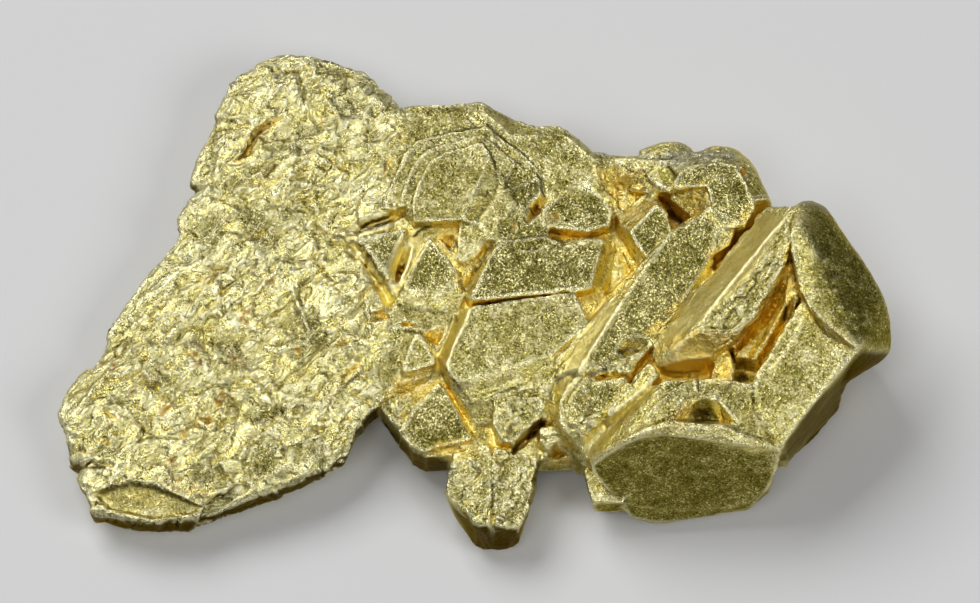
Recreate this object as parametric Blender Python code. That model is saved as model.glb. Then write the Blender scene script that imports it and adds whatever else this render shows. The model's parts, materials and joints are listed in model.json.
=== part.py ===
"""Gold crystal: a natural leaf of gold that thickens into stacked slab crystals.

The whole specimen grew as one piece, so it is one solid. It lies on flat facets
on its underside, with the thin crumpled leaf at -X and the thick cap at +X.

Every point is laid out in millimetres as (x, up, z). z is its height above the
surface that the specimen lies on. up is measured up a layout plane that leans
back, which is how a specimen is drawn from above and in front: place() turns
the three values into x, y and z.
"""

import math

import bmesh
import bpy
from mathutils import Vector, noise
from mathutils.geometry import intersect_point_line

NAME = "gold_crystal"
MM = 0.001

LAYOUT_LEAN = math.radians(65.0)
LEAN_SIN = math.sin(LAYOUT_LEAN)
LEAN_COS = math.cos(LAYOUT_LEAN)

# The crumpled leaf at -X.
LEAF_GRID = 0.75
LEAF_EDGE_TOP = 1.12
LEAF_SWELL = 0.44
LEAF_RISE = 0.45
LEAF_BOTTOM = 0.45
LEAF_BOTTOM_RISE = 0.25
LEAF_EDGE_THICKNESS = 0.34
LEAF_ROUNDING = 0.9
LEAF_CRUMPLE = 0.14
LEAF_START = -12.5
LEAF_RISE_RUN = 6.0
LEAF_TOP_LIMIT = 1.6
LEAF_BOTTOM_LIMIT = 1.4
LEAF_BOTTOM_CRUMPLE_SHARE = 0.6
LEAF_TOP_WRINKLE = 1.7
LEAF_TOP_DIRECTION = math.radians(38.0)
LEAF_BOTTOM_WRINKLE = 1.6
LEAF_BOTTOM_DIRECTION = math.radians(70.0)

# The flatter leaf that carries the middle crystals.
SHELF_GRID = 0.95
SHELF_TOP = 2.5
SHELF_BOTTOM = 0.75
SHELF_ROUNDING = 0.5
SHELF_CRUMPLE = 0.07
SHELF_EDGE_DROP = 0.3
SHELF_FRONT_FALL = 0.55
SHELF_FRONT_START = -2.2
SHELF_FRONT_RUN = 2.5
SHELF_TOP_WRINKLE = 1.1
SHELF_TOP_DIRECTION = math.radians(30.0)
SHELF_BOTTOM_CRUMPLE_SHARE = 2.0
SHELF_BOTTOM_WRINKLE = 1.9
SHELF_BOTTOM_DIRECTION = math.radians(100.0)

# Wrinkles are this much longer than wide, and their noise is sliced at this depth.
WRINKLE_STRETCH = 2.2
WRINKLE_SLICE = 0.37
WRINKLE_GAIN = 1.6

# The upright template that trims a plate to its outline.
TEMPLATE_BOTTOM = -1.0
TEMPLATE_HEIGHT = 9.0

# The steep front face of the big block, as a plane: height = (up + FRONT_UP) / FRONT_RUN.
FRONT_UP = 7.119
FRONT_RUN = 0.7192

CUTTER_REACH = 1.6
END_SHARE = 0.3

# The stubby crystals that the specimen rests on: the heights of their shoulder and root,
# and how wide their flat tip and their root are beside the shoulder.
FOOT_SHOULDER = 0.55
FOOT_ROOT = 1.3
FOOT_TIP_SHARE = 0.72
FOOT_ROOT_SHARE = 1.12

# The low slabs of the underside, turned by the golden angle from one to the next.
GOLDEN_ANGLE = math.radians(137.5)
SLAB_TILT = 0.09
SLAB_LENGTH = 1.75
SLAB_LENGTH_SPREAD = 0.35
SLAB_WIDTH_SHARE = 0.62
SLAB_FACE_SHARE = 0.9
SLAB_BEVEL = 0.25
SLAB_ROOT = 1.1

GOLD_COLOUR = (0.62, 0.49, 0.17, 1.0)
GOLD_ROUGHNESS = 0.38


def place(x, up, z):
    """Turn a layout point into a point in millimetres."""
    return Vector((x, (up - z * LEAN_COS) / LEAN_SIN, z))


def front(x, up):
    """A layout point on the big block's front face."""
    return (x, up, (up + FRONT_UP) / FRONT_RUN)


def clear_scene():
    for thing in list(bpy.data.objects):
        bpy.data.objects.remove(thing, do_unlink=True)


def new_collection(name, shown):
    collection = bpy.data.collections.new(name)
    bpy.context.scene.collection.children.link(collection)
    collection.hide_render = not shown
    return collection


def add_object(name, mesh_builder, collection):
    """Turn a bmesh in millimetres into an object in metres."""
    bmesh.ops.scale(mesh_builder, vec=(MM, MM, MM), verts=mesh_builder.verts)
    bmesh.ops.recalc_face_normals(mesh_builder, faces=mesh_builder.faces)
    mesh = bpy.data.meshes.new(name)
    mesh_builder.to_mesh(mesh)
    mesh_builder.free()
    thing = bpy.data.objects.new(name, mesh)
    collection.objects.link(thing)
    if collection.hide_render:
        thing.display_type = "WIRE"
        thing.hide_render = True
    return thing


def hull(name, points, collection):
    """The convex solid around some points in millimetres."""
    mesh_builder = bmesh.new()
    for point in points:
        mesh_builder.verts.new(point)
    result = bmesh.ops.convex_hull(mesh_builder, input=mesh_builder.verts)
    spare = [item for item in result["geom_interior"] if isinstance(item, bmesh.types.BMVert)]
    bmesh.ops.delete(mesh_builder, geom=spare, context="VERTS")
    return add_object(name, mesh_builder, collection)


def crystal(name, crown, foot, flare, collection):
    """A crystal: the corners of its crown, and a foot below it, flared out or drawn in."""
    corners = [place(*corner) for corner in crown]
    middle = sum(corners, Vector()) / len(corners)
    feet = []
    for corner in corners:
        feet.append(Vector((
            middle.x + (corner.x - middle.x) * flare,
            middle.y + (corner.y - middle.y) * flare,
            foot,
        )))
    return hull(name, corners + feet, collection)


def pit(name, rim, floor, collection):
    """A cutter: the rim of a hollow, the points of its floor, and clear space over the rim."""
    corners = [place(*corner) for corner in rim]
    above = [corner + Vector((0.0, 0.0, CUTTER_REACH)) for corner in corners]
    return hull(name, corners + above + [place(*point) for point in floor], collection)


def groove(name, path, width, depth, collection):
    """A V-shaped cutter along a path, smaller at both ends."""
    spots = [place(*point) for point in path]
    last = len(spots) - 1
    reach = Vector((0.0, 0.0, CUTTER_REACH))
    trough = bmesh.new()
    earlier = []
    for index, spot in enumerate(spots):
        before = spots[max(index - 1, 0)]
        after = spots[min(index + 1, last)]
        across = (after - before).cross(Vector((0.0, 0.0, 1.0))).normalized()
        share = END_SHARE if index in (0, last) else 1.0
        half = across * width * 0.5 * share
        bottom = spot - Vector((0.0, 0.0, depth * share))
        corners = [spot + half + reach, spot + half, bottom, spot - half, spot - half + reach]
        ring = [trough.verts.new(corner) for corner in corners]
        section = [trough.edges.new((ring[k - 1], ring[k])) for k in range(len(ring))]
        if earlier:
            bmesh.ops.bridge_loops(trough, edges=earlier + section)
        earlier = section
    bmesh.ops.holes_fill(trough, edges=trough.edges)
    bmesh.ops.triangulate(trough, faces=trough.faces)
    return add_object(name, trough, collection)


def is_inside(point, outline):
    """Whether a point in plan lies inside an outline, by counting the edges to its +X side."""
    inside = False
    for index, end in enumerate(outline):
        start = outline[index - 1]
        if (start.y > point.y) != (end.y > point.y):
            share = (point.y - start.y) / (end.y - start.y)
            if point.x < start.x + (end.x - start.x) * share:
                inside = not inside
    return inside


def inset_distance(point, outline):
    """How far a point in plan lies inside an outline, or 0 outside it."""
    if not is_inside(point, outline):
        return 0.0
    nearest = []
    for index, end in enumerate(outline):
        start = outline[index - 1]
        share = intersect_point_line(point, start, end)[1]
        share = min(max(share, 0.0), 1.0)
        nearest.append((point - (start + (end - start) * share)).length)
    return min(nearest)


def crumple(x, y, size, along):
    """Smooth wrinkles that run at an angle across the leaf, from -1 to 1."""
    cos_along = math.cos(along)
    sin_along = math.sin(along)
    forward = (x * cos_along + y * sin_along) / (size * WRINKLE_STRETCH)
    across = (y * cos_along - x * sin_along) / size
    return noise.noise(Vector((forward, across, WRINKLE_SLICE))) * WRINKLE_GAIN


def leaf(name, edge, grid, top_height, bottom_height, collection, cutters):
    """A plate with an uneven top and bottom, cut to an outline given as layout points."""
    outline = [place(*point) for point in edge]
    flat = [Vector((point.x, point.y)) for point in outline]
    low = Vector((min(p.x for p in flat), min(p.y for p in flat)))
    high = Vector((max(p.x for p in flat), max(p.y for p in flat)))
    middle = (low + high) * 0.5
    span = high - low
    blank = bmesh.new()
    bmesh.ops.create_grid(
        blank,
        x_segments=round(span.x / grid) + 2,
        y_segments=round(span.y / grid) + 2,
        size=0.5,
    )
    stretch = Vector((span.x + grid, span.y + grid, 1.0))
    bmesh.ops.scale(blank, vec=stretch, verts=blank.verts)
    bmesh.ops.translate(blank, vec=(middle.x, middle.y, 0.0), verts=blank.verts)
    lower = list(blank.verts)
    raised = bmesh.ops.extrude_face_region(blank, geom=list(blank.faces))
    upper = [item for item in raised["geom"] if isinstance(item, bmesh.types.BMVert)]
    for vert in lower:
        depth = inset_distance(vert.co.xy, flat)
        vert.co.z = bottom_height(vert.co.x, vert.co.y, depth)
    for vert in upper:
        depth = inset_distance(vert.co.xy, flat)
        vert.co.z = top_height(vert.co.x, vert.co.y, depth)
    bmesh.ops.triangulate(blank, faces=blank.faces)
    plate = add_object(name, blank, collection)

    template = bmesh.new()
    rim = [template.verts.new((point.x, point.y, TEMPLATE_BOTTOM)) for point in flat]
    face = template.faces.new(rim)
    pushed = bmesh.ops.extrude_face_region(template, geom=[face])
    lifted = [item for item in pushed["geom"] if isinstance(item, bmesh.types.BMVert)]
    bmesh.ops.translate(template, vec=(0.0, 0.0, TEMPLATE_HEIGHT), verts=lifted)
    shape = add_object(f"{name}_outline", template, cutters)
    trim = plate.modifiers.new("trim to the outline", "BOOLEAN")
    trim.operation = "INTERSECT"
    trim.solver = "EXACT"
    trim.object = shape
    return plate


def rounded(depth, reach):
    """How full the plate is at some depth in from its edge, from 0 to 1."""
    share = min(depth / reach, 1.0)
    return math.sqrt(1.0 - (1.0 - share) ** 2)


def crumpled_leaf(collection, cutters):
    """The thin leaf at -X, which rises a little towards the middle of the specimen."""
    edge = [
        (-8.55, 3.62, 1.6), (-8.89, 3.83, 1.6), (-8.49, 5.08, 1.7), (-8.05, 5.97, 1.7),
        (-7.48, 7.06, 1.7), (-6.65, 7.5, 1.7), (-6.18, 7.69, 1.7), (-4.96, 7.56, 1.8),
        (-3.6, 7.22, 1.8), (-2.93, 6.59, 1.9), (-2.46, 6.18, 2.0), (-1.6, 5.4, 2.0),
        (-1.6, 3.0, 2.0), (-1.4, 0.0, 1.8), (-2.0, -2.4, 1.7), (-3.22, -3.4, 1.7),
        (-3.8, -4.03, 1.6), (-4.16, -4.97, 1.55), (-5.45, -5.54, 1.5), (-7.01, -6.11, 1.45),
        (-8.57, -6.73, 1.3), (-9.88, -6.99, 1.2), (-10.92, -6.81, 1.15), (-11.85, -6.58, 1.1),
        (-12.09, -6.03, 1.05), (-12.3, -5.5, 1.0), (-11.8, -5.12, 1.0), (-12.48, -4.96, 0.9),
        (-12.61, -4.42, 0.9), (-12.9, -3.7, 0.9), (-12.69, -3.04, 0.9), (-12.17, -2.41, 0.9),
        (-11.59, -1.71, 1.0), (-11.44, -1.0, 1.0), (-11.02, -0.28, 1.0), (-10.45, 0.53, 1.1),
        (-9.88, 1.1, 1.2), (-9.33, 1.8, 1.3), (-9.15, 2.58, 1.4), (-8.9, 3.15, 1.5),
        (-8.5, 3.4, 1.5), (-7.95, 3.75, 1.6),
    ]

    def top_height(x, y, depth):
        rise = LEAF_RISE * min(max((x - LEAF_START) / LEAF_RISE_RUN, 0.0), LEAF_TOP_LIMIT)
        swell = LEAF_EDGE_TOP + LEAF_SWELL * rounded(depth, LEAF_ROUNDING) + rise
        return swell + LEAF_CRUMPLE * crumple(x, y, LEAF_TOP_WRINKLE, LEAF_TOP_DIRECTION)

    def bottom_height(x, y, depth):
        rise = LEAF_BOTTOM_RISE * min(max((x - LEAF_START) / LEAF_RISE_RUN, 0.0), LEAF_BOTTOM_LIMIT)
        wrinkle = crumple(x, y, LEAF_BOTTOM_WRINKLE, LEAF_BOTTOM_DIRECTION)
        inner = LEAF_BOTTOM + rise
        inner += LEAF_BOTTOM_CRUMPLE_SHARE * LEAF_CRUMPLE * wrinkle
        edge_bottom = top_height(x, y, 0.0) - LEAF_EDGE_THICKNESS
        return edge_bottom + (inner - edge_bottom) * rounded(depth, LEAF_ROUNDING)

    return leaf("leaf", edge, LEAF_GRID, top_height, bottom_height, collection, cutters)


def middle_shelf(collection, cutters):
    """The flatter leaf under the middle crystals."""
    edge = [
        (-3.0, -3.48, 1.2), (-2.49, -4.14, 1.1), (-2.02, -4.92, 1.0), (-1.6, -5.2, 0.9),
        (-0.93, -5.15, 0.9), (1.9, -5.2, 1.0), (3.2, -5.0, 1.2), (5.0, -4.4, 1.6),
        (6.0, -2.0, 2.2), (6.6, 2.0, 2.6), (6.0, 4.5, 2.7), (4.95, 4.68, 2.7), (3.96, 4.7, 2.6),
        (3.6, 4.79, 2.6), (3.18, 5.13, 2.5), (2.55, 5.56, 2.5), (1.81, 5.5, 2.4),
        (0.93, 5.86, 2.4), (0.09, 6.24, 2.3), (-1.1, 6.07, 2.2), (-2.25, 6.1, 2.2),
        (-3.3, 5.0, 2.1), (-3.7, 2.9, 2.1), (-3.5, 0.0, 2.0), (-3.3, -2.0, 1.7),
    ]

    def top_height(x, y, depth):
        swell = SHELF_TOP - SHELF_EDGE_DROP * (1.0 - rounded(depth, SHELF_ROUNDING))
        front_fall = SHELF_FRONT_FALL * min(max((SHELF_FRONT_START - y) / SHELF_FRONT_RUN, 0.0), 1.0)
        wrinkle = crumple(x, y, SHELF_TOP_WRINKLE, SHELF_TOP_DIRECTION)
        return swell - front_fall + SHELF_CRUMPLE * wrinkle

    def bottom_height(x, y, depth):
        wrinkle = crumple(x, y, SHELF_BOTTOM_WRINKLE, SHELF_BOTTOM_DIRECTION)
        return SHELF_BOTTOM + SHELF_BOTTOM_CRUMPLE_SHARE * SHELF_CRUMPLE * wrinkle

    return leaf("shelf", edge, SHELF_GRID, top_height, bottom_height, collection, cutters)


def growth_ledges(growth):
    """Three thin ledges, stacked, with a flat hexagonal facet on the last."""
    crystal("ledge_low", [
        (-2.95, 3.0, 2.62), (-2.3, 4.6, 2.62), (-1.9, 5.05, 2.62), (-0.9, 5.3, 2.62),
        (0.25, 5.5, 2.62), (1.9, 4.2, 2.66), (1.3, 2.8, 2.66), (-0.4, 2.42, 2.66),
        (-2.1, 2.75, 2.62),
    ], 1.6, 1.04, growth)
    crystal("ledge_middle", [
        (-2.5, 3.0, 2.78), (-2.05, 4.2, 2.78), (-1.6, 4.75, 2.78), (-0.9, 4.98, 2.78),
        (0.15, 5.25, 2.78), (1.2, 4.4, 2.78), (0.72, 3.55, 2.68), (0.05, 2.4, 2.68),
        (-2.1, 2.7, 2.78),
    ], 1.6, 1.03, growth)
    crystal("ledge_high", [
        (-2.05, 3.0, 2.95), (-1.9, 3.6, 2.95), (-1.5, 4.4, 2.95), (-1.0, 4.7, 2.95),
        (0.1, 5.0, 2.95), (0.35, 4.6, 2.95), (0.1, 3.9, 2.95), (-0.5, 2.6, 2.95),
        (-2.0, 2.55, 2.95), (0.72, 3.55, 2.7), (0.05, 2.45, 2.7),
    ], 1.6, 1.02, growth)


def middle_crystals(growth):
    """The flat facets around the middle hollows, and the two big pentagons."""
    crystal("arrow_facet", [
        (-3.7, 1.98, 2.72), (-2.65, 2.2, 2.78), (-2.25, 2.3, 2.8), (-2.4, 1.9, 2.8),
        (-2.8, 1.05, 2.76), (-2.88, 0.6, 2.72), (-3.3, 1.2, 2.7),
    ], 1.5, 1.12, growth)
    crystal("small_pentagon", [
        (-1.52, 2.05, 2.9), (-1.0, 1.35, 2.94), (-0.64, 1.0, 2.92), (-0.64, 0.68, 2.88),
        (-1.0, 0.52, 2.86), (-1.94, 0.37, 2.8), (-2.35, 0.47, 2.76), (-2.15, 0.88, 2.8),
    ], 1.5, 1.1, growth)
    crystal("inner_slope", [
        (-0.64, 0.66, 2.87), (-1.0, 0.5, 2.85), (-1.94, 0.35, 2.79), (-2.35, 0.45, 2.72),
        (-0.45, 0.2, 2.66), (-0.7, -0.4, 2.5), (-2.0, -0.55, 2.4), (-2.6, -0.2, 2.45),
    ], 1.5, 1.05, growth)
    crystal("back_facet", [
        (0.78, 3.5, 2.8), (0.1, 2.5, 2.8), (0.4, 1.85, 2.9), (1.1, 1.6, 2.96),
        (2.2, 1.75, 3.0), (2.2, 2.4, 2.9), (1.5, 2.6, 2.82), (1.7, 3.3, 2.76), (1.9, 3.9, 2.7),
    ], 1.5, 1.02, growth)
    crystal("pale_slope", [
        (-0.55, 2.5, 2.72), (0.1, 2.5, 2.78), (0.4, 2.0, 2.88), (0.1, 1.6, 2.74),
        (-0.3, 1.2, 2.62), (-0.6, 1.3, 2.7), (-0.62, 2.0, 2.72),
    ], 1.5, 1.02, growth)
    crystal("cleft_facet", [
        (2.65, 3.45, 3.0), (2.0, 2.88, 3.0), (2.05, 2.4, 2.92), (3.4, 2.25, 3.0),
        (4.1, 2.45, 3.02), (4.15, 2.9, 3.0), (3.75, 3.4, 3.0), (3.1, 3.7, 3.0),
    ], 1.5, 1.06, growth)
    crystal("upper_pentagon", [
        (0.7, 1.95, 3.02), (0.35, 1.3, 3.02), (-0.2, 0.1, 3.02), (1.6, 0.3, 3.05),
        (3.3, 0.42, 3.0), (4.55, 0.85, 2.95), (4.5, 1.3, 3.0), (4.0, 2.0, 3.05),
        (2.2, 2.1, 3.05), (0.2, 1.25, 2.8), (-0.55, 0.35, 2.5),
    ], 1.4, 1.05, growth)
    crystal("lower_pentagon", [
        (-0.22, -0.15, 3.06), (-0.34, -0.52, 3.06), (-0.8, -1.45, 3.0), (-0.96, -1.93, 2.96),
        (-0.87, -2.3, 2.9), (-0.53, -2.45, 2.9), (2.3, -1.6, 3.08), (3.0, -1.0, 3.1),
        (3.4, -0.6, 3.1), (3.0, 0.3, 3.08), (1.6, 0.14, 3.08),
        (-0.6, -0.3, 2.55), (-0.92, -0.8, 2.4), (-1.3, -1.6, 2.25), (-1.22, -2.0, 2.2),
    ], 1.3, 1.03, growth)
    crystal("pentagon_slope", [
        (-0.9, -2.35, 2.8), (-0.5, -2.45, 2.88), (2.3, -1.62, 3.05), (2.5, -2.1, 2.8),
        (2.25, -3.0, 2.5), (1.3, -3.5, 2.3), (0.4, -3.6, 2.2), (-0.12, -3.85, 2.0),
    ], 1.2, 1.0, growth)
    crystal("left_blade", [
        (-1.83, -0.9, 2.72), (-1.34, -1.77, 2.74), (-1.4, -1.95, 2.7), (-2.4, -2.2, 2.5),
        (-2.15, -1.7, 2.55), (-2.04, -1.2, 2.62),
    ], 1.3, 1.16, growth)
    crystal("foot_facet", [
        (-1.19, -2.5, 2.35), (-1.66, -3.04, 2.3), (-2.05, -3.35, 2.22), (-2.44, -4.0, 2.1),
        (-2.1, -4.4, 2.05), (-1.72, -4.62, 2.0), (-0.77, -4.34, 2.1), (-0.12, -4.2, 2.15),
        (-0.2, -3.8, 2.2), (-0.67, -3.0, 2.3),
        (-2.2, -4.55, 1.2), (-1.76, -4.98, 1.1), (-0.9, -5.0, 1.1), (0.0, -4.85, 1.2),
    ], 0.9, 0.98, growth)


def front_lobes(growth):
    """The tongue, and the stout leg of two lobes that hangs forward from it."""
    crystal("tongue", [
        (0.5, -2.9, 2.66), (0.53, -3.7, 2.6), (0.69, -4.25, 2.4), (1.1, -4.35, 2.3),
        (1.4, -4.28, 2.3), (2.15, -3.62, 2.5), (1.9, -3.0, 2.66),
    ], 1.0, 1.08, growth)
    crystal("lobe_left", [
        (-0.75, -4.7, 2.0), (-0.95, -5.9, 1.75), (-0.72, -6.4, 1.65), (-0.3, -6.5, 1.8),
        (-0.05, -6.95, 1.72), (0.35, -6.85, 1.75), (0.42, -5.3, 2.1), (0.35, -4.4, 2.15),
        (-1.0, -6.0, 1.2), (-0.65, -6.62, 0.8), (-0.09, -7.5, 0.65), (0.22, -7.68, 0.55),
        (0.5, -7.7, 0.55),
    ], 0.5, 0.82, growth)
    crystal("lobe_right", [
        (0.52, -4.5, 2.15), (0.5, -5.3, 2.1), (0.55, -6.9, 1.75), (1.25, -7.05, 1.5),
        (1.48, -6.5, 1.65), (1.7, -5.6, 1.85), (1.85, -4.8, 2.0),
        (0.4, -7.7, 0.55), (0.95, -7.66, 0.55), (1.28, -7.44, 0.7), (1.62, -6.43, 0.9),
        (1.83, -5.54, 1.2),
    ], 0.5, 0.84, growth)
    crystal("grain_bumps", [
        (1.95, -3.95, 2.2), (2.4, -3.9, 2.3), (2.5, -4.4, 2.15), (2.2, -4.6, 2.0),
        (1.9, -4.4, 2.0),
    ], 1.0, 1.1, growth)


def back_blocks(growth):
    """The block behind the slabs, its humps, and the facet beside the deep trench."""
    crystal("trench_facet", [
        (5.55, 3.05, 3.55), (4.77, 2.2, 3.5), (5.0, 1.75, 3.5), (5.4, 1.2, 3.45),
        (6.1, 2.1, 3.5), (5.85, 2.85, 3.55), (5.45, 3.5, 2.9), (4.15, 2.55, 2.35),
        (5.0, 1.0, 2.3),
    ], 1.6, 1.0, growth)
    crystal("block", [
        (6.04, 3.5, 4.2), (6.3, 4.14, 4.15), (6.7, 4.3, 4.1), (7.55, 4.4, 4.1),
        (8.0, 4.3, 4.15), (8.4, 3.6, 4.3), (8.6, 3.0, 4.35), (8.3, 2.4, 4.3),
        (7.45, 2.3, 4.1), (7.15, 3.0, 4.1), (7.1, 3.58, 4.15),
    ], 1.3, 1.03, growth)
    crystal("hump_right", [
        (6.9, 4.7, 3.3), (7.3, 4.95, 3.4), (7.8, 4.96, 3.5), (8.2, 4.78, 3.55),
        (8.54, 4.42, 3.7), (8.85, 3.86, 3.9), (9.15, 3.25, 4.2), (8.6, 3.2, 4.3),
        (7.9, 4.3, 3.9),
    ], 1.2, 0.98, growth)
    crystal("hump_left", [
        (4.95, 4.75, 2.9), (5.2, 4.87, 3.0), (5.5, 5.02, 3.1), (5.94, 5.13, 3.15),
        (6.3, 5.12, 3.15), (6.56, 5.0, 3.1), (6.77, 4.72, 3.0), (6.4, 4.4, 3.4),
        (5.6, 4.45, 3.3),
    ], 1.1, 0.98, growth)
    crystal("saddle", [
        (4.2, 4.5, 2.85), (5.4, 4.6, 3.0), (6.6, 4.35, 3.7), (6.5, 3.6, 3.75), (6.0, 3.5, 3.6),
        (5.5, 3.5, 3.1), (4.6, 3.6, 2.8),
    ], 1.3, 1.0, growth)
    crystal("block_shoulder", [
        (5.9, 4.35, 3.55), (6.3, 4.6, 3.55), (6.8, 4.7, 3.6), (7.3, 4.8, 3.65),
        (8.1, 4.7, 3.75), (8.3, 4.2, 4.05), (7.6, 4.3, 4.05), (6.6, 4.25, 4.0), (6.2, 4.05, 3.95),
    ], 1.3, 0.98, growth)


def long_slabs(growth):
    """The long parallel slabs that lie across the specimen."""
    crystal("slab_floor", [
        (4.4, -4.0, 2.6), (5.2, -2.2, 2.9), (5.6, 0.0, 3.0), (6.2, 2.0, 3.1),
        (8.6, 3.0, 3.3), (10.2, 2.2, 3.4), (11.6, 0.6, 3.2), (12.0, -1.0, 2.9),
        (11.2, -2.2, 2.8), (9.6, -3.9, 2.7), (8.0, -4.4, 2.7),
    ], 0.9, 0.84, growth)
    crystal("dark_slab_upper", [
        (6.9, 2.9, 4.15), (6.5, 2.62, 4.1), (6.0, 2.2, 4.0), (5.0, 0.7, 3.8), (4.5, 0.05, 3.7),
        (3.2, -2.0, 3.35), (7.4, 2.5, 4.1), (7.35, 1.0, 3.95), (6.1, -0.5, 3.75),
        (4.9, -1.9, 3.42), (3.9, -0.05, 2.8), (3.5, -0.55, 2.9), (3.05, -1.1, 2.94),
        (2.5, -1.75, 2.9), (2.2, -2.4, 2.72),
    ], 1.4, 1.0, growth)
    crystal("dark_slab_lower", [
        (3.25, -1.95, 3.34), (2.6, -3.0, 3.05), (2.55, -3.7, 2.85), (4.95, -1.85, 3.42),
        (4.3, -3.0, 3.15), (3.9, -3.6, 3.0), (3.3, -4.6, 2.5), (2.4, -2.3, 2.62),
        (2.2, -3.04, 2.5), (2.25, -3.7, 2.3), (2.5, -4.24, 2.1), (2.93, -4.7, 2.0),
        (3.3, -5.05, 1.9),
    ], 1.1, 0.92, growth)
    crystal("wedge_facet", [
        (6.95, 2.3, 4.05), (7.5, 2.42, 4.1), (7.95, 2.2, 4.08), (7.8, 1.85, 4.0), (7.4, 1.55, 3.92),
        (7.0, 1.8, 3.95),
    ], 2.4, 1.0, growth)
    crystal("valley_floor", [
        (3.3, -0.5, 2.95), (2.9, -1.1, 2.95), (2.3, -1.7, 2.92), (2.0, -2.6, 2.7),
        (2.0, -3.4, 2.45), (2.4, -3.5, 2.4), (2.7, -2.4, 2.75), (3.1, -1.6, 2.9), (3.6, -0.7, 2.95),
    ], 1.2, 1.0, growth)
    crystal("slab_foot", [
        (5.3, -2.3, 3.5), (5.5, -2.8, 3.5), (4.3, -4.1, 3.0), (3.5, -4.85, 2.45), (2.95, -4.75, 2.05),
        (3.4, -3.8, 2.75), (4.5, -2.6, 3.25),
    ], 0.9, 1.0, growth)
    crystal("crest_slab", [
        (9.0, 3.0, 4.35), (8.0, 1.7, 4.15), (6.9, 0.6, 3.98), (5.6, -0.9, 3.7),
        (5.42, -1.6, 3.55), (9.9, 3.0, 5.25), (9.4, 2.4, 5.15), (8.6, 1.5, 5.02),
        (8.0, 0.6, 4.88), (7.3, -0.1, 4.72), (6.8, -0.9, 4.55), (6.35, -1.2, 4.4),
        (9.65, 1.6, 4.95), (9.4, 0.8, 4.85), (9.1, 0.2, 4.75), (8.6, -0.4, 4.62),
        (8.2, -0.9, 4.5), (7.5, -1.08, 4.42), (5.6, -1.95, 3.7), (5.96, -2.1, 3.75),
        (6.6, -2.1, 3.78), (7.1, -1.9, 3.85),
    ], 1.5, 0.8, growth)
    crystal("trough_floor", [
        (9.72, 1.3, 4.5), (9.5, 0.6, 4.3), (9.0, -0.1, 4.15), (8.5, -0.7, 4.0), (7.95, -1.25, 3.85),
        (8.0, -1.7, 3.75), (8.55, -1.75, 3.8), (9.0, -1.6, 3.9), (9.6, -0.9, 4.1),
        (9.95, 0.2, 4.3), (9.85, 0.9, 4.45),
    ], 2.0, 1.0, growth)
    crystal("knob", [
        (7.36, -1.5, 3.8), (7.8, -1.5, 3.9), (7.98, -2.0, 3.95), (7.85, -2.45, 3.95),
        (7.3, -2.4, 3.85),
    ], 2.2, 1.3, growth)
    crystal("bright_blade", [
        (5.33, -1.8, 3.95), (5.6, -2.2, 4.1), (5.14, -2.7, 3.98), (4.1, -3.55, 3.5),
        (4.0, -3.4, 3.45), (5.0, -2.5, 3.85), (5.2, -2.0, 3.85),
    ], 2.2, 1.25, growth)


def front_block(growth):
    """The big block with the steep front face, its rounded rim and the plate beside it."""
    face_corners = [
        (3.53, -5.0), (3.94, -4.7), (4.5, -4.32), (5.06, -4.14), (5.8, -4.06), (6.5, -4.12),
        (7.4, -4.3), (8.6, -4.62), (9.4, -4.55), (9.25, -5.0), (9.16, -5.38), (9.0, -5.75),
        (8.6, -6.2), (8.0, -6.37), (6.75, -6.47), (5.5, -6.47), (4.6, -6.25), (4.06, -5.8),
        (3.6, -5.3),
    ]
    crown = [front(*corner) for corner in face_corners]
    crown += [
        (5.75, -2.45, 4.2), (5.25, -3.2, 4.12), (4.75, -3.72, 3.95), (4.0, -4.42, 3.42),
        (5.1, -2.75, 3.65), (4.05, -3.95, 3.2), (3.3, -4.75, 2.65),
        (6.9, -2.35, 4.2), (7.6, -2.45, 4.2), (8.5, -2.5, 4.2), (6.0, -3.72, 4.42),
        (7.5, -3.82, 4.28), (8.2, -4.2, 3.95), (5.25, -3.95, 4.3),
        (5.1, -6.8, 0.5), (5.9, -6.83, 0.5), (6.75, -6.7, 0.5), (8.4, -6.43, 0.7),
        (9.05, -5.85, 1.3), (4.75, -6.68, 0.6),
    ]
    crystal("front_block", crown, 0.75, 0.66, growth)
    crystal("side_plate", [
        (10.05, 0.05, 4.62), (10.35, -0.4, 4.6), (11.4, -1.2, 4.56), (11.75, -1.5, 4.52),
        (11.0, -2.3, 4.42), (10.4, -3.1, 4.2), (9.8, -3.9, 3.92), (9.42, -4.45, 3.66),
        (8.7, -4.6, 3.5), (8.4, -3.2, 4.05), (8.6, -2.3, 4.25), (9.2, -1.6, 4.42),
        (9.6, -1.0, 4.52), (11.1, -2.55, 3.6), (10.6, -3.15, 3.5), (9.95, -4.0, 3.2),
        (9.5, -4.6, 3.0),
    ], 0.9, 0.7, growth)
    crystal("step", [
        (3.3, -5.2, 1.75), (3.56, -6.18, 1.45), (4.5, -6.18, 1.5), (4.9, -5.3, 1.9),
        (3.6, -6.45, 0.9), (4.6, -6.4, 0.9),
    ], 0.7, 0.9, growth)


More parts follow.
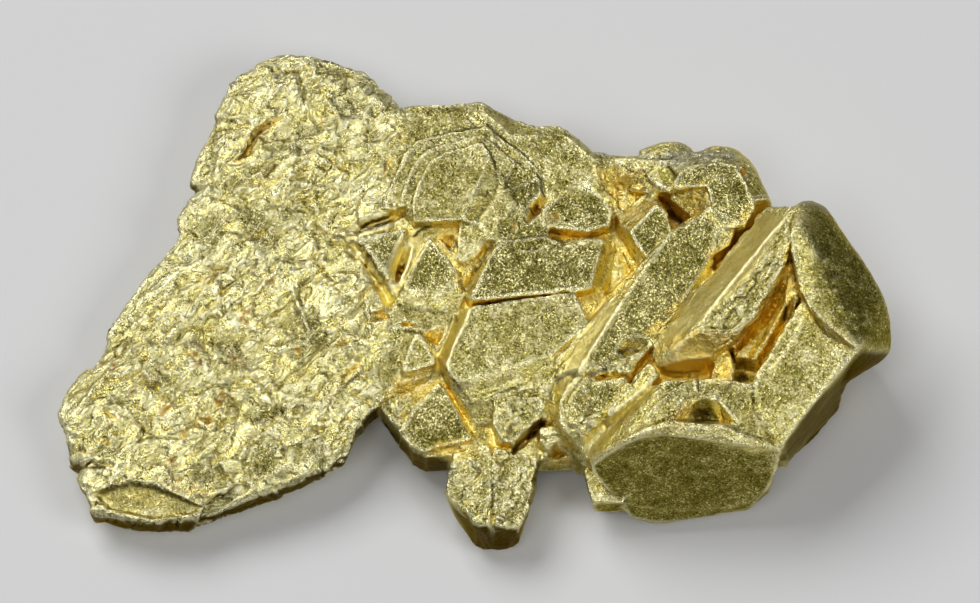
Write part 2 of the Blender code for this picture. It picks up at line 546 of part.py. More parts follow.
def cap(growth):
    """The tall rounded cap at +X."""
    crystal("cap", [
        (9.9, 3.2, 5.1), (10.3, 3.3, 5.1), (10.8, 3.1, 4.9), (9.72, 2.2, 5.6),
        (9.98, 2.5, 5.72), (10.5, 1.6, 5.8), (10.62, 0.8, 5.58), (10.3, -0.1, 5.24),
        (9.9, 0.6, 5.3), (9.78, 1.4, 5.5), (10.75, -0.68, 5.0), (11.3, -1.08, 4.75),
        (11.85, -1.45, 4.6), (11.25, 2.13, 5.1), (12.0, 1.3, 4.7), (12.6, 0.45, 4.2),
        (12.9, -0.5, 3.6), (12.9, -1.5, 3.0), (12.25, -2.0, 2.9), (11.5, -2.45, 3.0),
    ], 0.9, 0.66, growth)


def underside(growth):
    """Stubby crystals under the leaf and the blocks. The specimen rests on their flat ends."""
    feet = [
        ("rest_leaf_front", [(-9.6, -4.2), (-8.2, -5.0), (-7.0, -4.1), (-7.4, -2.9), (-9.0, -2.8)]),
        ("rest_leaf_back", [(-7.2, 4.3), (-5.6, 3.7), (-4.6, 4.8), (-5.4, 6.0), (-6.9, 5.8)]),
        ("rest_middle", [(-1.6, -3.8), (0.6, -4.6), (1.6, -3.2), (0.2, -2.2), (-1.3, -2.5)]),
        ("rest_slabs", [(6.2, -4.4), (8.6, -4.6), (9.6, -2.6), (8.0, -1.4), (6.0, -2.2)]),
        ("rest_back", [(5.6, 1.2), (8.2, 0.8), (8.4, 2.4), (6.4, 3.0), (5.2, 2.4)]),
    ]
    for name, outline in feet:
        middle = sum((Vector(point) for point in outline), Vector((0.0, 0.0))) / len(outline)
        points = []
        for x, y in outline:
            spread = Vector((x, y)) - middle
            tip = middle + spread * FOOT_TIP_SHARE
            points.append(Vector((tip.x, tip.y, 0.0)))
            points.append(Vector((x, y, FOOT_SHOULDER)))
            root = middle + spread * FOOT_ROOT_SHARE
            points.append(Vector((root.x, root.y, FOOT_ROOT)))
        hull(name, points, growth)


def underside_slabs(growth):
    """Low, tilted, six-sided slabs that overlap across the underside."""
    spots = [
        (-10.6, -3.9, 0.42), (-8.9, -1.9, 0.42), (-7.9, 0.9, 0.46), (-6.2, -1.4, 0.52),
        (-6.9, 3.2, 0.5), (-4.7, 2.0, 0.56), (-4.4, -2.3, 0.56), (-5.3, -4.2, 0.52),
        (-3.6, 4.9, 0.58), (-1.5, 1.4, 0.55), (-0.6, 4.2, 0.55), (1.9, 2.6, 0.5),
        (2.6, -0.6, 0.5), (4.6, 3.4, 0.5), (4.4, -3.0, 0.5), (7.6, 1.9, 0.6),
        (9.7, -0.7, 0.6), (9.9, -2.2, 0.6), (-2.6, -1.2, 0.55),
    ]
    for index, (x, y, bottom) in enumerate(spots):
        turn = GOLDEN_ANGLE * index
        length = SLAB_LENGTH + SLAB_LENGTH_SPREAD * math.sin(1.7 * index)
        points = []
        for corner in range(6):
            angle = math.radians(60.0 * corner)
            along = length * math.cos(angle)
            across = SLAB_WIDTH_SHARE * length * math.sin(angle)
            spot_x = x + along * math.cos(turn) - across * math.sin(turn)
            spot_y = y + along * math.sin(turn) + across * math.cos(turn)
            low = bottom + SLAB_TILT * along
            face_x = x + (spot_x - x) * SLAB_FACE_SHARE
            face_y = y + (spot_y - y) * SLAB_FACE_SHARE
            points.append(Vector((face_x, face_y, low)))
            points.append(Vector((spot_x, spot_y, low + SLAB_BEVEL)))
            points.append(Vector((spot_x, spot_y, SLAB_ROOT)))
        hull(f"under_slab_{index + 1}", points, growth)


def middle_hollows(cutters):
    """The trenches, pits and cracks between the middle crystals."""
    pit("long_trench", [
        (-4.25, 2.03, 2.1), (-3.6, 2.5, 2.3), (-2.9, 2.85, 2.6), (-2.2, 3.02, 2.7),
        (-2.15, 2.62, 2.7), (-2.9, 2.4, 2.5), (-3.6, 2.16, 2.3),
    ], [(-3.9, 2.14, 1.9), (-3.2, 2.4, 2.02), (-2.45, 2.7, 2.25)], cutters)
    groove("arrow_trench", [
        (-3.95, 1.9, 2.4), (-3.5, 1.25, 2.5), (-3.12, 0.7, 2.5), (-2.8, 0.1, 2.5),
        (-2.75, -0.3, 2.45),
    ], 0.52, 0.36, cutters)
    pit("spindle_hollow", [
        (-2.1, 2.25, 2.75), (-2.5, 1.7, 2.75), (-2.78, 1.0, 2.75), (-2.72, 0.45, 2.7),
        (-2.45, 0.45, 2.7), (-2.1, 1.0, 2.8), (-1.8, 1.6, 2.85), (-1.8, 2.1, 2.8),
    ], [(-2.3, 1.5, 2.3), (-2.5, 0.8, 2.3)], cutters)
    groove("hook_arc", [
        (-2.0, 2.05, 2.9), (-1.6, 2.28, 2.9), (-1.2, 2.42, 2.9), (-0.6, 2.48, 2.9),
    ], 0.14, 0.3, cutters)
    pit("hook_pit", [
        (-1.5, 2.28, 2.9), (-0.6, 2.46, 2.9), (-0.55, 2.1, 2.9), (-0.86, 1.42, 2.9),
        (-1.0, 1.55, 2.9),
    ], [(-0.84, 1.95, 2.25), (-0.88, 1.75, 2.2)], cutters)
    groove("open_crack", [
        (0.72, 1.98, 3.0), (0.35, 1.9, 2.95), (0.04, 1.46, 2.85), (-0.22, 0.88, 2.7),
        (-0.5, 0.45, 2.5),
    ], 0.38, 0.5, cutters)
    groove("slit", [
        (-0.3, -0.12, 3.05), (0.6, 0.06, 3.06), (1.66, 0.25, 3.07),
    ], 0.12, 0.28, cutters)
    groove("slit_end", [(2.05, 0.32, 3.07), (2.6, 0.38, 3.07), (3.1, 0.48, 3.05)], 0.16, 0.18, cutters)
    pit("yellow_pit", [
        (2.2, 2.02, 3.05), (2.6, 2.2, 3.05), (3.3, 2.3, 3.05), (3.95, 2.12, 3.05),
        (3.3, 1.95, 3.05), (2.7, 1.75, 3.05),
    ], [(2.7, 2.0, 2.78), (3.3, 2.1, 2.85)], cutters)
    pit("amber_notch", [
        (-0.95, -0.72, 2.5), (-1.3, -1.55, 2.5), (-1.75, -0.95, 2.5),
    ], [(-1.25, -1.2, 2.1)], cutters)
    groove("dark_arc", [
        (-2.65, -0.8, 2.5), (-2.3, -0.66, 2.5), (-2.0, -0.7, 2.5), (-1.8, -0.85, 2.5),
    ], 0.16, 0.6, cutters)
    pit("amber_hollow", [
        (-3.55, -0.68, 2.35), (-2.95, -0.05, 2.4), (-2.7, -0.55, 2.4),
    ], [(-3.0, -0.5, 2.1)], cutters)
    pit("amber_band", [
        (-2.6, -2.3, 2.35), (-1.35, -1.98, 2.5), (-1.15, -2.35, 2.4), (-1.7, -2.9, 2.3),
        (-2.4, -3.2, 2.1), (-2.9, -2.9, 2.1),
    ], [(-2.3, -2.7, 1.92), (-1.5, -2.35, 2.1)], cutters)
    groove("lower_vee", [
        (-1.25, -2.0, 2.5), (-0.85, -2.75, 2.4), (-0.45, -3.4, 2.25), (-0.15, -3.95, 2.1),
        (0.05, -4.4, 2.1),
    ], 0.3, 0.36, cutters)
    pit("cave", [
        (2.12, -3.62, 2.55), (2.2, -3.93, 2.4), (1.89, -4.0, 2.3), (1.73, -4.34, 2.2),
        (1.1, -4.8, 2.1), (0.9, -4.62, 2.2), (1.36, -4.3, 2.3),
    ], [(1.9, -3.85, 1.6), (1.2, -4.6, 1.5)], cutters)
    pit("leg_hollow", [
        (2.4, -4.4, 1.95), (2.95, -4.75, 1.9), (2.5, -4.98, 1.8), (1.95, -4.95, 1.8),
    ], [(2.45, -4.75, 1.3)], cutters)
    groove("leg_split", [
        (0.43, -4.7, 2.2), (0.45, -5.6, 2.1), (0.46, -6.4, 1.95), (0.46, -7.0, 1.75),
    ], 0.26, 0.35, cutters)


def slab_hollows(cutters):
    """The trenches, pits and cracks between the slabs and blocks."""
    groove("cleft", [
        (1.5, 2.5, 2.85), (1.8, 2.95, 2.85), (2.15, 3.4, 2.9), (2.5, 3.85, 2.85),
    ], 0.5, 0.6, cutters)
    groove("amber_line", [
        (2.68, 3.78, 2.9), (3.1, 3.87, 2.85), (3.44, 4.02, 2.8), (3.9, 4.03, 2.8),
    ], 0.22, 0.4, cutters)
    pit("amber_field", [
        (3.9, 3.95, 2.85), (4.5, 4.2, 3.0), (5.2, 4.1, 3.15), (5.5, 3.6, 3.15), (5.1, 3.1, 2.9),
        (4.4, 2.6, 2.8), (4.15, 3.2, 2.85),
    ], [(4.45, 3.3, 2.45)], cutters)
    pit("deep_trench_top", [
        (4.7, 3.4, 2.9), (4.1, 2.6, 2.9), (4.05, 2.2, 3.0), (4.35, 2.1, 2.8),
    ], [(4.2, 2.5, 2.1)], cutters)
    pit("deep_trench", [
        (4.05, 2.3, 3.0), (4.1, 1.95, 3.0), (4.5, 1.35, 3.0), (4.6, 0.8, 3.0), (3.6, 0.35, 3.0),
        (3.3, -0.4, 2.9), (3.85, 0.0, 2.7), (4.5, 0.2, 3.0), (5.3, 1.15, 3.0), (4.9, 1.7, 3.0),
    ], [(4.3, 1.9, 2.4), (4.8, 1.0, 2.35), (4.1, 0.35, 2.4)], cutters)
    pit("triangle_pit", [
        (5.5, 3.28, 3.6), (6.1, 3.5, 4.0), (7.14, 3.6, 4.1), (7.3, 3.0, 4.1), (6.9, 2.9, 4.15),
        (6.2, 2.3, 4.0),
    ], [(6.15, 2.55, 3.2), (6.5, 2.75, 3.4)], cutters)
    groove("slab_gap", [
        (8.6, 2.5, 4.3), (8.0, 1.95, 4.15), (7.45, 1.4, 4.0), (7.25, 1.0, 3.95), (6.5, 0.2, 3.85),
    ], 0.5, 0.34, cutters)
    pit("slab_pit_upper", [
        (4.5, -1.1, 3.55), (5.4, -1.15, 3.6), (5.3, -1.45, 3.55), (4.6, -1.75, 3.45),
        (4.3, -1.5, 3.45),
    ], [(4.8, -1.45, 3.15)], cutters)
    pit("slab_pit_lower", [
        (3.3, -2.4, 3.2), (4.0, -2.05, 3.35), (4.95, -2.1, 3.4), (4.8, -2.4, 3.3),
        (3.6, -2.5, 3.2),
    ], [(3.8, -2.3, 2.95), (4.5, -2.3, 3.0)], cutters)
    groove("blade_gap", [
        (5.3, -1.9, 3.7), (4.95, -2.45, 3.6), (4.3, -3.1, 3.3), (3.9, -3.6, 3.1),
    ], 0.12, 0.2, cutters)
    pit("long_amber_trench", [
        (9.72, 1.55, 5.0), (9.85, 0.8, 4.9), (10.0, 0.3, 4.8), (9.55, -0.9, 4.6),
        (9.15, -1.6, 4.5), (8.5, -2.4, 4.3), (8.0, -2.4, 4.2), (7.95, -1.3, 4.4),
        (8.65, -0.5, 4.55), (9.15, 0.1, 4.7), (9.5, 0.8, 4.8),
    ], [(9.35, 0.0, 3.95), (8.9, -0.9, 3.75), (8.5, -1.7, 3.6), (9.7, 1.1, 4.5)], cutters)
    groove("trough_left", [
        (9.68, 0.95, 4.45), (9.3, 0.2, 4.1), (8.85, -0.55, 3.95), (8.3, -1.2, 3.8), (7.95, -1.6, 3.7),
    ], 0.36, 0.7, cutters)
    groove("trough_right", [
        (9.9, 0.35, 4.4), (9.62, -0.3, 4.15), (9.25, -1.0, 3.95), (8.75, -1.75, 3.8),
        (8.4, -2.2, 3.7),
    ], 0.3, 0.75, cutters)
    pit("glint_hole", [
        (7.98, -1.78, 3.8), (8.5, -1.84, 3.8), (8.55, -2.36, 3.8), (8.05, -2.4, 3.8),
    ], [(8.2, -2.0, 2.9), (8.35, -2.1, 2.9)], cutters)
    pit("lens_trench", [
        (5.6, -2.0, 3.7), (6.6, -2.1, 3.7), (7.3, -1.75, 3.9), (7.36, -2.32, 4.1),
        (6.9, -2.35, 4.1), (5.75, -2.38, 4.1),
    ], [(6.2, -2.3, 3.0), (7.1, -2.15, 2.9)], cutters)
    pit("crescent_pit", [
        (6.0, -3.68, 4.3), (6.25, -3.38, 4.27), (6.6, -3.14, 4.25), (7.05, -3.02, 4.25),
        (7.45, -3.08, 4.25), (7.78, -3.42, 4.2), (8.05, -3.77, 4.1), (7.0, -3.72, 4.3),
    ], [(6.55, -3.62, 3.95), (7.2, -3.62, 3.5), (7.6, -3.68, 3.6)], cutters)


def cut_or_join(target, operation, collection):
    modifier = target.modifiers.new(operation.lower(), "BOOLEAN")
    modifier.operation = operation
    modifier.solver = "EXACT"
    modifier.operand_type = "COLLECTION"
    modifier.collection = collection


def keep_outer_skin(mesh):
    """Delete every closed pocket, and keep the skin with the most faces."""
    skin = bmesh.new()
    skin.from_mesh(mesh)
    waiting = set(skin.faces)
    islands = []
    while waiting:
        stack = [waiting.pop()]
        island = []
        while stack:
            face = stack.pop()
            island.append(face)
            for edge in face.edges:
                for neighbour in edge.link_faces:
                    if neighbour in waiting:
                        waiting.remove(neighbour)
                        stack.append(neighbour)
        islands.append(island)
    islands.sort(key=len)
    for island in islands[:-1]:
        bmesh.ops.delete(skin, geom=island, context="FACES")
    bmesh.ops.triangulate(skin, faces=skin.faces)
    skin.to_mesh(mesh)
    skin.free()


def centre(mesh):
    """Slide the mesh so that the middle of its bounding box lies over the origin."""
    for axis in (0, 1):
        values = [vert.co[axis] for vert in mesh.vertices]
        middle = (min(values) + max(values)) * 0.5
        for vert in mesh.vertices:
            vert.co[axis] -= middle


def gold():
    material = bpy.data.materials.new("natural gold")
    material.use_nodes = True
    shader = material.node_tree.nodes["Principled BSDF"]
    shader.inputs["Base Color"].default_value = GOLD_COLOUR
    shader.inputs["Roughness"].default_value = GOLD_ROUGHNESS
    shader.inputs["Metallic"].default_value = 1.0
    return material


def main():
    clear_scene()
    parts = new_collection(NAME, shown=True)
    outlines = new_collection("outlines", shown=False)
    growth = new_collection("growth", shown=False)
    cutters = new_collection("cutters", shown=False)

    body = crumpled_leaf(parts, outlines)
    middle_shelf(growth, outlines)
    growth_ledges(growth)
    middle_crystals(growth)
    front_lobes(growth)
    back_blocks(growth)
    long_slabs(growth)
    front_block(growth)
    cap(growth)
    underside(growth)
    underside_slabs(growth)
    middle_hollows(cutters)
    slab_hollows(cutters)

    cut_or_join(body, "UNION", growth)
    cut_or_join(body, "DIFFERENCE", cutters)
    depsgraph = bpy.context.evaluated_depsgraph_get()
    finished = bpy.data.meshes.new_from_object(body.evaluated_get(depsgraph))
    keep_outer_skin(finished)
    centre(finished)
    body.modifiers.clear()
    body.data = finished
    body.name = NAME
    finished.name = NAME
    finished.materials.clear()
    finished.materials.append(gold())


main()
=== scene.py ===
"""The looks of the gold crystal: its skin, finish, floor, light and camera.

The visible skin is made from the CAD solid's own shape. It is remeshed finely,
rounded at its edges, and then worked over in millimetres: raised rims along the
crystals' edges, wrinkles and scales on the thin leaf, growth lines, cracks and
pits. Places on the top are given as layout points (x, up), the same slanted plan
in which the CAD solid was laid out.
"""

import json
import math

import bmesh
import bpy
import numpy as np
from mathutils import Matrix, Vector
from mathutils.bvhtree import BVHTree
from mathutils.kdtree import KDTree

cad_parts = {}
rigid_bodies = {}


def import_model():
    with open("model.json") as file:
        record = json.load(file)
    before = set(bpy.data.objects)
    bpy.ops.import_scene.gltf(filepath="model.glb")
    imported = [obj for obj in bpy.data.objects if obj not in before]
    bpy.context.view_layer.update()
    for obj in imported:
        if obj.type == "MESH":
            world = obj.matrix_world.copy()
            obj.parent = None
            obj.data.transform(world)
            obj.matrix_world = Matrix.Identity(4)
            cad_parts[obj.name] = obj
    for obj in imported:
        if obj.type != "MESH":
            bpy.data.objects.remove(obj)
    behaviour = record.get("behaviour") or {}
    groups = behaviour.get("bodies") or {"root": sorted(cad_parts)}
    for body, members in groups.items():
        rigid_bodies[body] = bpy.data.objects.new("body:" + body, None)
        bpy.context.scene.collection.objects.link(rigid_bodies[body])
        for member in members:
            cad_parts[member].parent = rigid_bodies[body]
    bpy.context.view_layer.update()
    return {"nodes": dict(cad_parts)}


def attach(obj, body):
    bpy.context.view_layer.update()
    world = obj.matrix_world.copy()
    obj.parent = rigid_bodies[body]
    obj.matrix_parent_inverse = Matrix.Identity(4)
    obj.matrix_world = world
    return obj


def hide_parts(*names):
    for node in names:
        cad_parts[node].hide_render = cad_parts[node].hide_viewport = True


NODE = "gold_crystal"
MM = 0.001

# The layout plane leans back by this angle. Its zero lies this far behind the origin, in millimetres.
LAYOUT_LEAN = math.radians(65.0)
LAYOUT_SHIFT = 0.53
LEAN_SIN = math.sin(LAYOUT_LEAN)
LEAN_COS = math.cos(LAYOUT_LEAN)
TOWARDS_VIEWER = np.array([0.0, -LEAN_COS, LEAN_SIN])

# The photograph's frame, and where the layout's zero falls in it.
IMAGE_WIDTH = 980.0
IMAGE_HEIGHT = 603.0
PIXELS_PER_MM = 32.0
ZERO_COLUMN = 478.0
ZERO_ROW = 303.0

# Noise: what scrambles a cell's place into a number, how each finer layer shrinks and
# weakens, and where in its cell a jittered centre may lie. The last is farther than anything
# that a search for the nearest thing finds.
HASH_WEIGHTS = (127.1, 311.7, 74.7)
HASH_SEED_STEP = 19.19
HASH_SPREAD = 43758.5453
LAYER_SIZE = 0.5
LAYER_STRENGTH = 0.55
CELL_MARGIN = 0.15
CELL_JITTER = 0.7
FAR = 99.0

# The skin: its voxels in millimetres, how often it is smoothed and rounded, and its triangles.
VOXEL = 0.06
SMOOTH_STEPS = 3
ROUNDING_STEPS = 60
TRIANGLE_LIMIT = 190000

# How readily a point is given up when triangles are thinned out: on the top, and elsewhere.
# Points in between take the nearer of the two, which is the one within this reach.
TOP_SPARE = 0.15
UNDER_SPARE = 1.0
SPARE_REACH = 0.43

# Rims and creases along the crystals' edges. Edges bent by more than the first angle count, and
# ridges bent by more than the second are borders too.
SHARP_ANGLE = math.radians(17.0)
BORDER_ANGLE = math.radians(45.0)
EDGE_STEP = 0.05
WELD = 0.0001
RIM_HEIGHT = 0.045
RIM_WIDTH = 0.075
CREASE_DEPTH = 0.05
CREASE_WIDTH = 0.07

# The growth lines and folds rise or sink by this many times their listed height.
LINE_STRENGTH = 1.4

# Rays that feel how enclosed a point is start a little above the skin and reach this far.
# They fan out in rings, given as (height of a ray on the unit ball, number of rays). The last
# is a direction from which each point's own sideways directions are worked out.
SHELTER_START = 0.03
SHELTER_REACH = 1.6
SHELTER_RINGS = ((0.9, 4), (0.6, 6), (0.3, 5))
SHELTER_SIDEWAYS = (0.31, 0.82, 0.48)

# How hollow or raised a point is against its wider surroundings, as a share around one half.
HOLLOW_STEPS = 12
HOLLOW_MIDDLE = 0.5
HOLLOW_GAIN = 6.0

# A smooth lens-shaped facet sits this far below the leaf.
LENS_DEPTH = 0.09

# Which ways the wrinkles run: along the leaf, at its edge, across it, on the shelf between the
# crystals and on the crumpled parts. The last is how far the streaks are drawn out.
LEAF_GRAIN = math.radians(38.0)
EDGE_GRAIN = math.radians(57.0)
CROSS_GRAIN = 0.6
SHELF_GRAIN = math.radians(35.0)
CRUMPLE_GRAIN = math.radians(72.0)
STREAK_STRETCH = 7.0

# The leaf ends about here in x. Above the turn its end lies a little further on, and leans.
LEAF_END = -2.7
LEAF_END_HIGH = -2.6
LEAF_END_LEAN = 0.1
LEAF_TURN = 2.0

# The leaf's relief in layers, as (size, height, seed): overlapping scales, and sharp crests.
LEAF_SCALES = ((1.2, 0.13, 51), (0.62, 0.06, 61), (0.33, 0.018, 66))
LEAF_CRESTS = ((0.65, 0.07, 71), (0.32, 0.03, 72), (0.16, 0.010, 73))

# The finishes, each kept as a number from 0 to 1 at every point of the skin. Several of them place painted
# shade and painted highlights.
FINISHES = (
    "flat", "grey", "matte", "dark", "leaf", "smooth", "amber", "rust", "hollow", "shelter",
    "slit", "edge",
)


def clear_scene():
    for thing in list(bpy.data.objects):
        bpy.data.objects.remove(thing, do_unlink=True)


# ---------------------------------------------------------------- noise and shapes


def hashed(cells, seed):
    """A repeatable number from 0 to 1 for each row of whole-number cell coordinates."""
    weights = np.array(HASH_WEIGHTS)[: cells.shape[1]]
    value = np.sin(cells @ weights + seed * HASH_SEED_STEP) * HASH_SPREAD
    return value - np.floor(value)


def smooth_noise(points, size, seed):
    """Smooth noise from -1 to 1 with features about as wide as size, in 2 or 3 dimensions."""
    scaled = points / size
    base = np.floor(scaled)
    part = scaled - base
    part = part * part * (3.0 - 2.0 * part)
    dimensions = points.shape[1]
    total = np.zeros(len(points))
    for corner in range(2 ** dimensions):
        offset = np.array([(corner >> axis) & 1 for axis in range(dimensions)])
        weight = np.prod(np.where(offset, part, 1.0 - part), axis=1)
        total += weight * hashed(base + offset, seed)
    return total * 2.0 - 1.0


def layered_noise(points, size, seed, layers=3):
    total = np.zeros(len(points))
    for layer in range(layers):
        finer = smooth_noise(points, size * LAYER_SIZE ** layer, seed + layer)
        total += finer * LAYER_STRENGTH ** layer
    return total


def drift(points, size, seeds, noise=smooth_noise):
    """Two noises side by side, which shift places in the layout plane."""
    return np.stack([noise(points, size, seed) for seed in seeds], axis=1)


def ridged(points, size, seed):
    """Sharp little crests between smooth troughs, from 0 to 1."""
    return 1.0 - np.abs(smooth_noise(points, size, seed))


def jittered_cells(points, size, seed):
    """Irregular cells: how far each point lies from its cell's border, the offset from the
    nearest centre, and three numbers of its own for each cell."""
    scaled = points / size
    base = np.floor(scaled)
    nearest = np.full(len(points), FAR)
    second = np.full(len(points), FAR)
    offset = np.zeros_like(points)
    home = np.zeros_like(points)
    for step_x in (-1, 0, 1):
        for step_y in (-1, 0, 1):
            cell = base + np.array([step_x, step_y])
            jitter = np.stack([hashed(cell, seed), hashed(cell, seed + 5)], axis=1)
            gap = scaled - (cell + CELL_MARGIN + CELL_JITTER * jitter)
            distance = np.hypot(gap[:, 0], gap[:, 1])
            closer = distance < nearest
            second = np.where(closer, nearest, np.minimum(second, distance))
            nearest = np.where(closer, distance, nearest)
            offset = np.where(closer[:, None], gap, offset)
            home = np.where(closer[:, None], cell, home)
    own = [hashed(home, seed + number) * 2.0 - 1.0 for number in (11, 12, 13)]
    return second - nearest, offset, own


def turned(points, angle, stretch):
    """Layout points in axes turned by an angle, squeezed along the first axis."""
    along = points[:, 0] * math.cos(angle) + points[:, 1] * math.sin(angle)
    across = points[:, 1] * math.cos(angle) - points[:, 0] * math.sin(angle)
    return np.stack([along / stretch, across], axis=1)


def ease(values, low, high):
    """Goes smoothly from 0 at low to 1 at high."""
    share = np.clip((values - low) / (high - low), 0.0, 1.0)
    return share * share * (3.0 - 2.0 * share)


def bump(distance, width):
    return np.exp(-((distance / width) ** 2))


def spot_distance(spots, x, up):
    return np.hypot(*(spots - (x, up)).T)


def line_distance(points, path):
    """The distance to a path, and how far along it each point lies, from 0 to 1."""
    corners = np.array(path, float)
    lengths = np.hypot(*(corners[1:] - corners[:-1]).T)
    starts = np.concatenate([[0.0], np.cumsum(lengths)])
    nearest = np.full(len(points), FAR)
    along = np.zeros(len(points))
    for index, length in enumerate(lengths):
        run = (corners[index + 1] - corners[index]) / length
        gap = points - corners[index]
        share = np.clip(gap @ run, 0.0, length)
        distance = np.hypot(*(gap - share[:, None] * run).T)
        closer = distance < nearest
        nearest = np.where(closer, distance, nearest)
        along = np.where(closer, (starts[index] + share) / starts[-1], along)
    return nearest, along


def tapered(along, slope, past):
    """1 along a path and less near its ends, where it would reach 0 this far past them."""
    return np.clip(slope * np.minimum(along + past, 1.0 + past - along), 0.0, 1.0)


def patch(points, outline, soft):
    """1 inside an outline and 0 outside it, with a soft edge."""
    corners = np.array(outline, float)
    inside = np.zeros(len(points), bool)
    for index in range(len(corners)):
        start, end = corners[index - 1], corners[index]
        if start[1] == end[1]:
            continue
        crosses = (start[1] > points[:, 1]) != (end[1] > points[:, 1])
        share = (points[:, 1] - start[1]) / (end[1] - start[1])
        inside ^= crosses & (points[:, 0] < start[0] + (end[0] - start[0]) * share)
    distance = line_distance(points, list(outline) + [outline[0]])[0]
    return ease(np.where(inside, distance, -distance), -soft, soft)


def gathered(spots, outlines, soft):
    """1 inside any of some outlines."""
    total = np.zeros(len(spots))
    for outline in outlines:
        total = np.maximum(total, patch(spots, outline, soft))
    return total


# ---------------------------------------------------------------- the skin's mesh


def rows(items, name, kind, width):
    """A property of all a mesh's points or edges, as an array with a row for each."""
    flat = np.empty(len(items) * width, kind)
    items.foreach_get(name, flat)
    return flat.reshape(-1, width)


def coordinates(mesh):
    return rows(mesh.vertices, "co", float, 3)


def set_coordinates(mesh, points):
    mesh.vertices.foreach_set("co", points.ravel())
    mesh.update()


def normals(mesh):
    return rows(mesh.vertex_normals, "vector", float, 3)


def edge_ends(mesh):
    return rows(mesh.edges, "vertices", np.int64, 2)


def spread_out(values, ends, steps, share=0.5):
    """Average each point's values with its neighbours', some number of times.
    The share is one number, or a column with one for each point."""
    count = len(values)
    degree = np.bincount(ends.ravel(), minlength=count).astype(float)
    for step in range(steps):
        total = np.empty_like(values)
        for axis in range(values.shape[1]):
            total[:, axis] = np.bincount(ends[:, 0], values[ends[:, 1], axis], count)
            total[:, axis] += np.bincount(ends[:, 1], values[ends[:, 0], axis], count)
        values = values + share * (total / degree[:, None] - values)
    return values


def applied(thing):
    """Replace an object's mesh with the result of its modifiers."""
    depsgraph = bpy.context.evaluated_depsgraph_get()
    mesh = bpy.data.meshes.new_from_object(thing.evaluated_get(depsgraph))
    thing.modifiers.clear()
    thing.data = mesh


def fine_copy(node):
    """A fine, even skin over the CAD solid, scaled up so that one unit is a millimetre."""
    mesh = node.data.copy()
    mesh.transform(node.matrix_world)
    set_coordinates(mesh, coordinates(mesh) / MM)
    skin = bpy.data.objects.new("gold_skin", mesh)
    bpy.context.scene.collection.objects.link(skin)
    remesh = skin.modifiers.new("even skin", "REMESH")
    remesh.mode = "VOXEL"
    remesh.voxel_size = VOXEL
    applied(skin)
    return skin


def layout(points):
    """Layout coordinates (x, up) of points in millimetres."""
    up = (points[:, 1] - LAYOUT_SHIFT) * LEAN_SIN + points[:, 2] * LEAN_COS
    return np.stack([points[:, 0], up], axis=1)


def sharp_edges(node):
    """Search trees of points along the CAD solid's edges: ridges, creases and borders."""
    solid = bmesh.new()
    solid.from_mesh(node.data)
    bmesh.ops.transform(solid, matrix=node.matrix_world, verts=solid.verts)
    bmesh.ops.scale(solid, vec=(1.0 / MM,) * 3, verts=solid.verts)
    bmesh.ops.remove_doubles(solid, verts=solid.verts, dist=WELD)
    ridges, creases, borders = [], [], []
    for edge in solid.edges:
        if len(edge.link_faces) != 2 or edge.calc_face_angle() < SHARP_ANGLE:
            continue
        start, end = (vert.co for vert in edge.verts)
        count = max(2, math.ceil((end - start).length / EDGE_STEP))
        spots = [start.lerp(end, step / count) for step in range(count + 1)]
        if not edge.is_convex:
            creases += spots
            continue
        ridges += spots
        if edge.calc_face_angle() > BORDER_ANGLE:
            borders += spots
    solid.free()
    return [tree_of(found) for found in (ridges, creases, borders)]


def tree_of(spots):
    tree = KDTree(len(spots))
    for index, spot in enumerate(spots):
        tree.insert(spot, index)
    tree.balance()
    return tree


def tree_distance(points, tree):
    return np.array([tree.find(point)[2] for point in points])


def shelter(points, facing, mesh):
    """How enclosed each point is, from 0 in the open to 1 in a deep hollow."""
    solid = bmesh.new()
    solid.from_mesh(mesh)
    tree = BVHTree.FromBMesh(solid)
    solid.free()
    directions = []
    for ring, (height, count) in enumerate(SHELTER_RINGS):
        for step in range(count):
            angle = math.tau * (step + 0.5 * ring) / count
            flat = math.sqrt(1.0 - height * height)
            directions.append((flat * math.cos(angle), flat * math.sin(angle), height))
    side = np.cross(facing, np.array(SHELTER_SIDEWAYS))
    side /= np.linalg.norm(side, axis=1)[:, None]
    other = np.cross(facing, side)
    starts = points + facing * SHELTER_START
    blocked = np.zeros(len(points))
    for first, second, third in directions:
        rays = side * first + other * second + facing * third
        for index in range(len(points)):
            hit = tree.ray_cast(Vector(starts[index]), Vector(rays[index]), SHELTER_REACH)
            if hit[3] is not None:
                blocked[index] += 1.0 - hit[3] / SHELTER_REACH * 0.5
    return blocked / len(directions)


# ---------------------------------------------------------------- features of the gold

